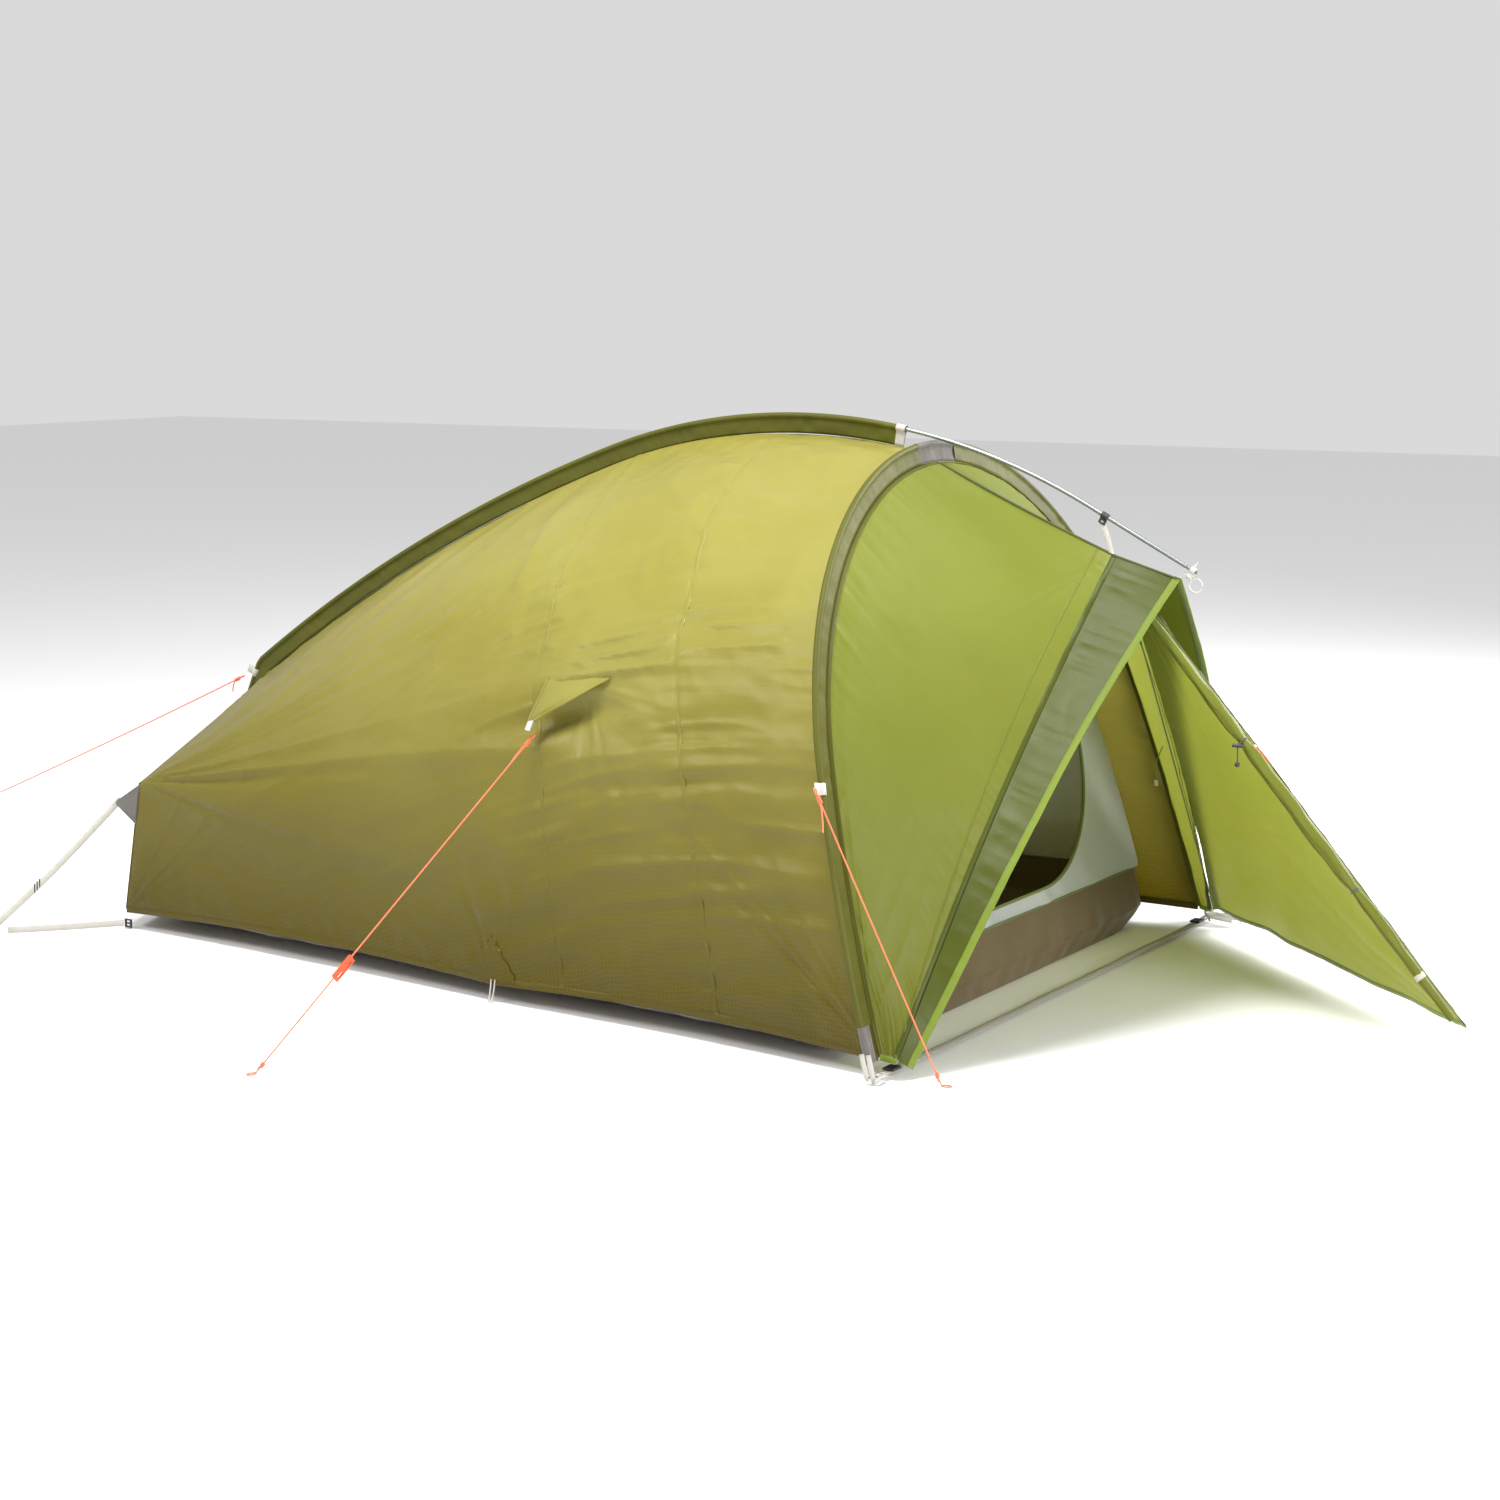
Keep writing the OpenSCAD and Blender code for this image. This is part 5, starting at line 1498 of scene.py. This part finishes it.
def brow_end_tie():
    """The webbing that ties the hood's top to the brow pole's end, with its pull ring."""
    p = ridge_point(-0.004)
    down = HOOD_TOP + [0.006, 0, 0.004]
    loop = loop_round("round", p, CLIP_DIR, CLIP_DOWN, 0.020, 0.012, r=0.0062)
    parts = [loop]
    for d in (-0.004, 0.004):
        run = [p + CLIP_DOWN * 0.016 + [0, d, 0], lerp(p, down, 0.6) + [0.004, d, 0], down + [0, d, 0]]
        parts.append(strap("tie", run, 0.0075, (0, 1, 0)))
    a = np.linspace(0, 1.85 * math.pi, 30)[:, None]
    ring_path = p + [0.006, 0, -0.030] + 0.014 * (np.cos(a) * [1, 0, 0] + np.sin(a) * UP)
    parts.append(tube("ring", ring_path, 0.0018, WEBBING, 8, (0, 1, 0)))
    k = np.linspace(0, 1, 8)[:, None]
    ear = p + CLIP_DIR * 0.002 + UP * (0.006 + 0.014 * k) + CLIP_DIR * 0.008 * k * k
    parts.append(sweep("ear", ear, tape_profile(0.009, 0.0014), (0, 1, 0), WEBBING))
    place(joined("brow_end_tie_tape", parts), "tent", "webbing", "brow_end_tie")


def door_tip_loop():
    """The doubled tape at the door's tip, and its peg cord."""
    a = DOOR_TIP + [-0.006, 0.004, 0.004]
    peg = DOOR_TIP + [0.032, 0.004, 0.006 - DOOR_TIP[2]]
    parts = []
    for d in (-0.007, 0.007):
        run = [a + [0, d, 0], lerp(a, peg, 0.5) + [0, d * 1.2, 0.001], peg + [0, d, 0]]
        parts.append(strap("tape", run, 0.0085, (0, 1, 0)))
    b = np.linspace(0, math.pi, 14)[:, None]
    bend = peg + 0.007 * (np.cos(b) * [0, 1, 0] + np.sin(b) * [0.9, 0, -0.1])
    parts.append(tube("peg_cord", bend, 0.0014, WEBBING, 8))
    place(joined("door_tip_loop_tape", parts), "front_door", "webbing", "door_tip_loop")


ROLL_DIR = unit(DOOR_TIP - DOOR_TOP)
ROLL_SIDE = np.array([0, 1.0, 0])
TIE_SQUEEZE = 0.74


def round_the_roll(centre, r, count):
    """A ring round the rolled half of the door."""
    a = np.linspace(0, 2 * math.pi, count)[:, None]
    return centre + r * (np.cos(a) * ROLL_SIDE + np.sin(a) * np.cross(ROLL_DIR, ROLL_SIDE))


def leash(start, centre):
    """The short cord from the upper tie to its toggle."""
    end = np.array([start[0], centre[1] - 0.026, centre[2] - 0.006])
    run = curve_points([start, lerp(start, end, 0.5) - UP * 0.002, end], 4)
    return tube("leash", run, 0.0012, BLACK_CORD, 8)


def door_ties():
    """Two cords and a tape round the roll."""
    parts = []
    for v in TIES:
        r = roll_radius(roll_share(v)) * TIE_SQUEEZE
        parts.append(tube("tie", round_the_roll(roll_axis(v), r, 49), 0.0015, BLACK_CORD, 8, ROLL_DIR))
    top = roll_axis(TIES[0])
    start = top - ROLL_SIDE * (roll_radius(roll_share(TIES[0])) * TIE_SQUEEZE) + [0, -0.002, -0.001]
    parts.append(leash(start, top))
    keeper = round_the_roll(roll_axis(KEEPER), roll_radius(roll_share(KEEPER)) * 1.02, 33)
    parts.append(sweep("keeper", keeper, tape_profile(0.012, 0.0012), ROLL_DIR, WEBBING_DARK))
    place(joined("door_ties_cord", parts), "front_door", "hardware", "door_ties")


def door_tie_back():
    """The cord and bead that tie the rolled-up door back, hanging free inside the zip."""
    top = door_hinge(0.47) + [-0.016, -0.004, -0.006]
    low = top + [-0.010, -0.010, -0.075]
    drop = curve_points([top, lerp(top, low, 0.5) + [-0.006, -0.004, 0], low], 8)
    cord = tube("cord", drop, 0.0013, BINDING, 8)
    bead_line = lerp(low, low - UP * 0.012, np.array([[0.0], [0.25], [0.75], [1.0]]))
    bead = tube("bead", bead_line, 0.0046, WEBBING, 10)
    place(joined("door_tie_back_cord", [cord, bead]), "tent", "vestibule_green")


def zip_tape(name, a, b, across, material, normal):
    """Two tapes and the coil between them."""
    path = lerp(np.asarray(a), np.asarray(b), np.linspace(0, 1, 60)[:, None])
    tape = sweep(name, path, tape_profile(0.0060, 0.0010), across, material)
    coil = sweep("coil", path + unit(normal) * 0.0006, ring(0.0011, 8), across, material)
    return joined(name, [tape, coil])


def zips():
    """The side zip and the centre zip of the door."""
    shift = np.array([-0.006, 0.006, -0.004])
    a = door_hinge(0.04) + shift
    b = door_hinge(0.98) + shift
    side = zip_tape("fly_zip_tape", a, b, ACROSS_HINGE, ZIP, DOOR_OUT)
    place(side, "tent", "zip_tape", "fly_zip")
    c, d = door_centre(0.06) + [0, -0.009, 0], door_centre(0.95) + [0, -0.009, 0]
    centre = zip_tape("centre_zip_tape", c, d, (0, 1, 0), ZIP, (1, 0, 1))
    place(centre, "front_door", "zip_tape", "centre_zip")


sleeve_band()
guy_loops()
side_tabs()
rear_gussets()
rear_straps()
hem_loops()
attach(joined("hem_patches", [hem_patch(-1), hem_patch(1)]), "tent")
base_strap()
foot_grommets()
brow_strap()
brow_end_tie()
door_tip_loop()
door_ties()
door_tie_back()
zips()

# ---------- inner tent ----------

FLY_TREES = {side: BVHTree.FromPolygons(g.reshape(-1, 3).tolist(), grid_faces(*g.shape[:2]))
             for side, g in ((-1, fly_left_grid), (1, fly_right_grid))}


def kept_inside(g, clear=0.009):
    """Moves the points of the inner tent in, wherever the fly hangs too near them."""
    points = g.reshape(-1, 3).copy()
    for k, p in enumerate(points):
        side = -1 if p[1] < 0 else 1
        near, normal, _, _ = FLY_TREES[side].find_nearest(p.tolist())
        outward = np.array(normal) * math.copysign(1, normal.y * side + 0.6 * normal.z)
        depth = float((np.array(near) - p) @ outward)
        if depth < clear:
            points[k] = p - outward * (clear - depth)
    return points.reshape(g.shape)


INNER_X = tub_high.x
INNER_DROP = 0.105
TUB_H = tub_high.z
ARCH_IN = 0.052
FOOT_IN = HOOP_HALF - tub_high.y
INNER_HEM_Q = 1 - (TUB_H + 0.004) / math.cos(HOOP_LEAN) / HOOP_L
INNER_REAR_TOP = RIDGE_REAR_LOW + [0.042, 0, -0.062]
INNER_CORNER = CORNER_TOP + [0.030, -0.042, -0.040]
INNER_CORNER_LOW = np.array([tub_low.x + 0.0007, 0.5443, TUB_H + 0.002])


def inner_arch(q):
    """The inner front wall's outline in its own leaning plane: across, and up the slope."""
    p = hoop_point(q, 1, lerp(ARCH_IN, FOOT_IN, np.asarray(q) ** 2))
    return np.stack([p[..., 1], p[..., 2] / math.cos(HOOP_LEAN)], -1)


def on_front_wall(flat, out=0.0):
    """Points of the leaning front wall from places across it and up its slope."""
    flat = np.asarray(flat, float)
    s, c = math.sin(HOOP_LEAN), math.cos(HOOP_LEAN)
    x = INNER_X - flat[..., 1] * s + out * c
    return np.stack([x, flat[..., 0], flat[..., 1] * c + out * s], -1)


def inner_front_edge(v):
    p = inner_arch(np.asarray(v) * INNER_HEM_Q)
    return on_front_wall(p * [-1, 1]) - [0.006, 0, 0]


def inner_rear_edge(v):
    return kneed(INNER_REAR_TOP, left(INNER_CORNER), left(INNER_CORNER_LOW), v)


def inner_top(u):
    start = CROSSING_L + 0.060
    p = ridge_point(lerp(start, RIDGE_L, u), INNER_DROP)
    first = inner_front_edge(0.0) - ridge_point(start, INNER_DROP)
    last = INNER_REAR_TOP - ridge_point(RIDGE_L, INNER_DROP)
    return p + lerp(first, last, column(u))


def inner_bottom(u):
    return lerp(inner_front_edge(1.0), left(INNER_CORNER_LOW), column(u))


def inner_side(side, seed):
    """One side wall of the inner tent, which hangs clear of the fly."""
    g = refine(patch(40, 30, inner_front_edge, inner_rear_edge, inner_top, inner_bottom), 4) + [0, -0.0015, 0]
    along, down = arc_lengths(g)
    height = 0.004 * noise2(along / 0.3, down / 0.12, seed)
    height = height + puckers(down, along, 0.003, 0.05, 0.08, seed + 1)
    height += puckers(down[:, -1:] - down, along, 0.003, 0.05, 0.06, seed + 2)
    sag = 0.034 * np.clip(from_edge(along, down) / 0.10, 0, 1)
    g = kept_inside(mirrored(displaced(g, height - sag), side))
    node = "inner_left" if side < 0 else "inner_right"
    obj = cloth_mesh(node + "_cloth", g, INNER)
    place(obj, "tent", "inner_grey", node)
    declare_sheet(obj, g)
    return g


def inner_back():
    """The rear wall of the inner tent."""
    gap = 0.004
    v = np.linspace(0, 1, 60)[None, :, None]
    centre = lerp(INNER_REAR_TOP - [gap, 0, gap], INNER_CORNER_LOW * [1, 0, 1], v)
    edge = lerp(INNER_CORNER, INNER_CORNER_LOW, v) - gap * (1 - v) * [1, 0, 1]
    g = mirrored_wall(centre, edge, 50)
    along, down = arc_lengths(g)
    g = displaced(g, 0.004 * noise2(along / 0.2, down / 0.12, 611))
    obj = cloth_mesh("inner_rear_cloth", g, INNER)
    place(obj, "tent", "inner_grey", "inner_rear")
    declare_sheet(obj, g)


DOOR_X0 = -0.330
DOOR_X1 = 0.585
DOOR_LOW = 0.168
DOOR_HIGH = 0.930
DOOR_ROUND = 0.330
DOOR_MIDDLE = np.array([0.127, 0.540])


def hull(points):
    """The convex outline of a set of points."""
    points = sorted(map(tuple, points))

    def chain(run):
        out = []
        for p in run:
            while len(out) > 1 and np.cross(np.subtract(out[-1], out[-2]), np.subtract(p, out[-2])) <= 0:
                out.pop()
            out.append(p)
        return out[:-1]

    return np.array(chain(points) + chain(points[::-1]))


def inner_door_outline():
    """The doorway: straight on its zip's side, and rounded on the other."""
    a = np.linspace(0, 2 * math.pi, 97)[:, None]
    circle = DOOR_ROUND * np.concatenate([np.cos(a), np.sin(a)], 1)
    low = circle + [DOOR_X1 - DOOR_ROUND, DOOR_LOW + DOOR_ROUND]
    high = circle + [DOOR_X1 - DOOR_ROUND - 0.130, DOOR_HIGH - DOOR_ROUND]
    straight = [[DOOR_X0, DOOR_LOW], [DOOR_X0, DOOR_HIGH - 0.150], [DOOR_X0 + 0.010, DOOR_HIGH - 0.150]]
    return hull(np.concatenate([low, high, straight]))


def radius_at(outline, angles):
    """How far a convex outline lies from the door's middle in each direction."""
    ring_points = np.concatenate([outline, outline[:1]]) - DOOR_MIDDLE
    a, b = ring_points[:-1], ring_points[1:]
    d = np.stack([np.cos(angles), np.sin(angles)], -1)[:, None]
    edge = b - a
    cross = d[..., 0] * edge[..., 1] - d[..., 1] * edge[..., 0]
    cross = np.where(np.abs(cross) < 1e-12, 1e-12, cross)
    t = (a[:, 0] * edge[:, 1] - a[:, 1] * edge[:, 0]) / cross
    s = (a[:, 0] * d[..., 1] - a[:, 1] * d[..., 0]) / cross
    ok = (s >= -1e-6) & (s <= 1 + 1e-6) & (t > 0)
    return np.where(ok, t, 0).max(1)


def inner_front_wall():
    """The wall between the doorway and the arch, in rays from the doorway's middle."""
    q = np.linspace(0, 1, 60)
    arch = inner_arch(q * INNER_HEM_Q)
    outline = np.concatenate([arch[::-1], (arch * [-1, 1])[1:]])
    opening = inner_door_outline()
    angles = np.linspace(0, 2 * math.pi, 361)[:-1]
    direction = np.stack([np.cos(angles), np.sin(angles)], -1)
    inside, outside = radius_at(opening, angles), radius_at(outline[::-1], angles)
    k = np.linspace(0, 1, 24)[None, :, None]
    flat = DOOR_MIDDLE + direction[:, None] * lerp(inside[:, None, None], outside[:, None, None], k)
    g = on_front_wall(flat)
    wrinkle = 0.0035 * noise2(flat[..., 0] / 0.12 + 9, flat[..., 1] / 0.15 + 9, 621)
    wrinkle += 0.004 * smooth_noise(angles * 9, 623)[:, None] * np.sin(math.pi * k[0, :, 0]) ** 0.6
    g = g + wrinkle[..., None] * HOOP_NORMAL
    g = kept_inside(np.concatenate([g, g[:1]]))
    obj = cloth_mesh("inner_front_cloth", g, INNER)
    place(obj, "tent", "inner_grey", "inner_front")
    return DOOR_MIDDLE + direction * inside[:, None]


def doorway_piping(rim):
    seam = on_front_wall(np.concatenate([rim, rim[:1]]), 0.001)
    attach(tube("inner_door_piping", seam, 0.0028, BINDING, 8, (1, 0, 0)), "tent")


def inner_zip(rim):
    """The zip runs round the doorway, except along its hinge side."""
    keep = rim[rim[:, 0] > DOOR_X0 + 0.012] - DOOR_MIDDLE
    start = math.atan2(DOOR_LOW - DOOR_MIDDLE[1], DOOR_X0 - DOOR_MIDDLE[0])
    order = np.argsort((np.arctan2(keep[:, 1], keep[:, 0]) - start) % (2 * math.pi))
    spokes = keep[order]
    inset = 1 - 0.003 / np.linalg.norm(spokes, axis=1, keepdims=True)
    track = on_front_wall(DOOR_MIDDLE + spokes * inset, -0.0005)
    tape = sweep("inner_zip_tape", track, tape_profile(0.0058, 0.0014), (1, 0, 0.27), ZIP)
    place(tape, "tent", "zip_tape", "inner_zip")


def inner_roll():
    """The inner door, rolled up beside the doorway."""
    v = np.linspace(0, 1, 140)
    flat = np.stack([np.full_like(v, DOOR_X0 - 0.030), lerp(DOOR_LOW + 0.020, DOOR_HIGH - 0.190, v)], -1)
    turns = np.linspace(0, 5 * math.pi, 90)
    r = (0.012 + 0.008 * np.sin(math.pi * v))[:, None] * (0.2 + 0.8 * turns / turns[-1])[None]
    r = r * (1 + 0.10 * noise2(v[:, None] * 20, turns[None] * 0.8, 631))
    g = swept_grid(on_front_wall(flat, 0.026), r * np.cos(turns), r * np.sin(turns), (0, 1, 0))
    obj = cloth_mesh("inner_door_rolled_cloth", g, INNER)
    place(obj, "tent", "inner_grey", "inner_door_rolled")


TUB_REAR_HALF = 0.545
FLOOR_INSET = np.array([0.016, 0.130])


def floor_outline(inset_x, inset_y):
    """The tub's outline with rounded corners, as a closed ring of points."""
    front, rear = tub_high.x - inset_x, tub_low.x + inset_x
    wide, narrow = tub_high.y - inset_y, TUB_REAR_HALF - inset_y
    corners = np.array([[front, -wide], [front, wide], [rear, narrow], [rear, -narrow]])
    points = []
    for k in range(4):
        p, before, after = corners[k], corners[k - 1], corners[(k + 1) % 4]
        a, b = p + unit(before - p) * 0.05, p + unit(after - p) * 0.05
        t = np.linspace(0, 1, 9)[:, None]
        points.append((1 - t) ** 2 * a + 2 * t * (1 - t) * p + t * t * b)
        far = corners[(k + 1) % 4] + unit(p - after) * 0.05
        points.append(lerp(b, far, np.linspace(0, 1, 42)[1:-1, None]))
    return np.concatenate(points)


def tub_wall():
    """The tub's wall, lofted from rings. Each ring has its insets along X and Y, and its height."""
    levels = [(*FLOOR_INSET, 0.0008), (0.012, 0.098, 0.007), (0.006, 0.050, 0.024), (0.0, 0.010, 0.040),
              (0.0, 0.0, 0.050), (0.0, 0.0, 0.090), (0.0, 0.0, TUB_H)]
    rings = []
    for inset_x, inset_y, z in levels:
        flat = floor_outline(inset_x, inset_y)
        flat[:, 0] -= np.clip(flat[:, 0] / tub_high.x, 0, 1) ** 24 * z * math.tan(HOOP_LEAN)
        rings.append(np.concatenate([flat, np.full((len(flat), 1), z)], 1))
    wall = refine(np.array(rings), 4)
    around, up = np.meshgrid(np.arange(wall.shape[1]), np.linspace(0, 1, len(wall)))
    ripple = 0.0035 * noise2(around / 5.0, up * 3 + 5, 641) * np.sin(math.pi * up)
    wall = wall - grid_normals(wall) * ripple[..., None]
    wall[..., 2] = np.maximum(wall[..., 2], 0.0006)
    return kept_inside(np.concatenate([wall, wall[:, :1]], 1), 0.005)


def tub_floor():
    """The flat of the groundsheet, with the small waves of cloth on the ground."""
    u = np.linspace(0, 1, 130)[:, None]
    v = np.linspace(-1, 1, 90)[None, :]
    inset_x, inset_y = FLOOR_INSET
    half = lerp(tub_high.y - inset_y, TUB_REAR_HALF - inset_y, u)
    x = lerp(tub_high.x - inset_x, tub_low.x + inset_x, u) + 0 * v
    y = half * v
    z = 0.0022 + 0.0016 * noise2(x / 0.11 + 20, y / 0.13 + 20, 643)
    z = z + 0.0007 * noise2(x / 0.04 + 50, y / 0.05 + 50, 645)
    return np.stack([x, y, np.maximum(z, 0.0008)], -1)


def tub():
    """The groundsheet: a wall and a floor of one cloth, and the piping round its top."""
    wall = tub_wall()
    side = cloth_mesh("groundsheet_wall", wall, TUB, flip=True)
    floor = cloth_mesh("groundsheet_floor", tub_floor(), TUB)
    piping = tube("groundsheet_piping", wall[-1], 0.0022, PIPING, 8, (0, 0, 1))
    obj = joined("groundsheet_cloth", [side, floor])
    place(obj, "tent", "tub_brown", "groundsheet")
    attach(piping, "tent")


def hangers(inner_grid):
    """Short elastic cords that hold the inner tent to the fly, each with a bead."""
    spots = [(0.22, 0.12), (0.5, 0.1), (0.78, 0.1), (0.25, 0.62), (0.75, 0.6)]
    parts = []
    n, m = inner_grid.shape[:2]
    for side in (-1, 1):
        for u, v in spots:
            a = inner_grid[int(u * (n - 1)), int(v * (m - 1))] * [1, -side, 1]
            b = fly_at(u, v) * [1, -side, 1]
            parts.append(tube("elastic", lerp(a, b, np.linspace(0, 1, 8)[:, None]), 0.0014, BLACK_CORD, 8))
            bead = lerp(a, b, np.array([[0.42], [0.46], [0.54], [0.58]]))
            parts.append(tube("bead", bead, 0.0034, BLACK, 10))
    place(joined("inner_hangers_elastic", parts), "tent", "elastic", "inner_hangers")


hangers(inner_side(-1, 601))
inner_side(1, 605)
inner_back()
doorway = inner_front_wall()
doorway_piping(doorway)
inner_zip(doorway)
inner_roll()
tub()

# ---------- hard parts kept from the frame ----------


def dress(material, *names, bevel=0.0):
    """Gives CAD nodes their material, and rounds their edges."""
    for name in names:
        obj = nodes[name]
        obj.data.materials.clear()
        obj.data.materials.append(material)
        if bevel:
            edge = obj.modifiers.new("bevel", "BEVEL")
            edge.width = bevel
            edge.segments = 2
            edge.limit_method = "ANGLE"
            edge.harden_normals = False


dress(ALLOY, "ridge_pole_foot", "ridge_pole_elbow", "ridge_pole_rear", "ridge_pole_crown", "ridge_pole_brow")
dress(ALLOY, "hoop_pole", "pole_ferrules", "pole_tips")
dress(BLACK_CORD, "shock_cords")
dress(BLACK, "door_toggle", "rear_corner_buckles", "ladder_locks", "brow_clip", bevel=0.0005)
dress(RUNNER, "guyline_tensioner", bevel=0.0010)
dress(RUNNER, "fly_zip_slider", "centre_zip_slider", "inner_zip_slider", bevel=0.0004)

# ---------- studio ----------


LAMPS = (
    # name, place, size and power
    ("key", (0.5, -1.5, 4.8), 1.3, 265),
    ("sheen", (-2.2, -4.0, 3.8), 1.4, 125),
    ("back", (3.0, 3.6, 2.6), 2.6, 330),
    ("door", (4.2, -1.4, 1.0), 1.2, 90),
)
LAMP_TARGET = np.array([0.2, 0, 0.4])


def lamp(name, place_at, size, power):
    """A square area lamp that looks at the middle of the tent."""
    data = bpy.data.lights.new(name, "AREA")
    data.size = size
    data.energy = power
    light = bpy.data.objects.new(name, data)
    light.location = place_at
    aim = LAMP_TARGET - np.array(place_at)
    light.rotation_euler = (math.atan2(math.hypot(aim[0], aim[1]), -aim[2]), 0, math.atan2(-aim[0], aim[1]))
    bpy.context.scene.collection.objects.link(light)


def studio():
    """A plain pale floor under an even pale sky."""
    world = bpy.data.worlds.new("studio")
    world.use_nodes = True
    background = world.node_tree.nodes["Background"]
    background.inputs["Color"].default_value = (1, 1, 1, 1)
    background.inputs["Strength"].default_value = 0.70
    bpy.context.scene.world = world
    bpy.ops.mesh.primitive_plane_add(size=40, location=(0, 0, -0.0006))
    floor = bpy.context.object
    floor.name = "floor"
    floor.data.materials.append(plastic("floor_pale", (0.93, 0.93, 0.93, 1), 0.95))
    bpy.context.scene.view_settings.view_transform = "Standard"
    for name, place_at, size, power in LAMPS:
        lamp(name, place_at, size, power)


studio()
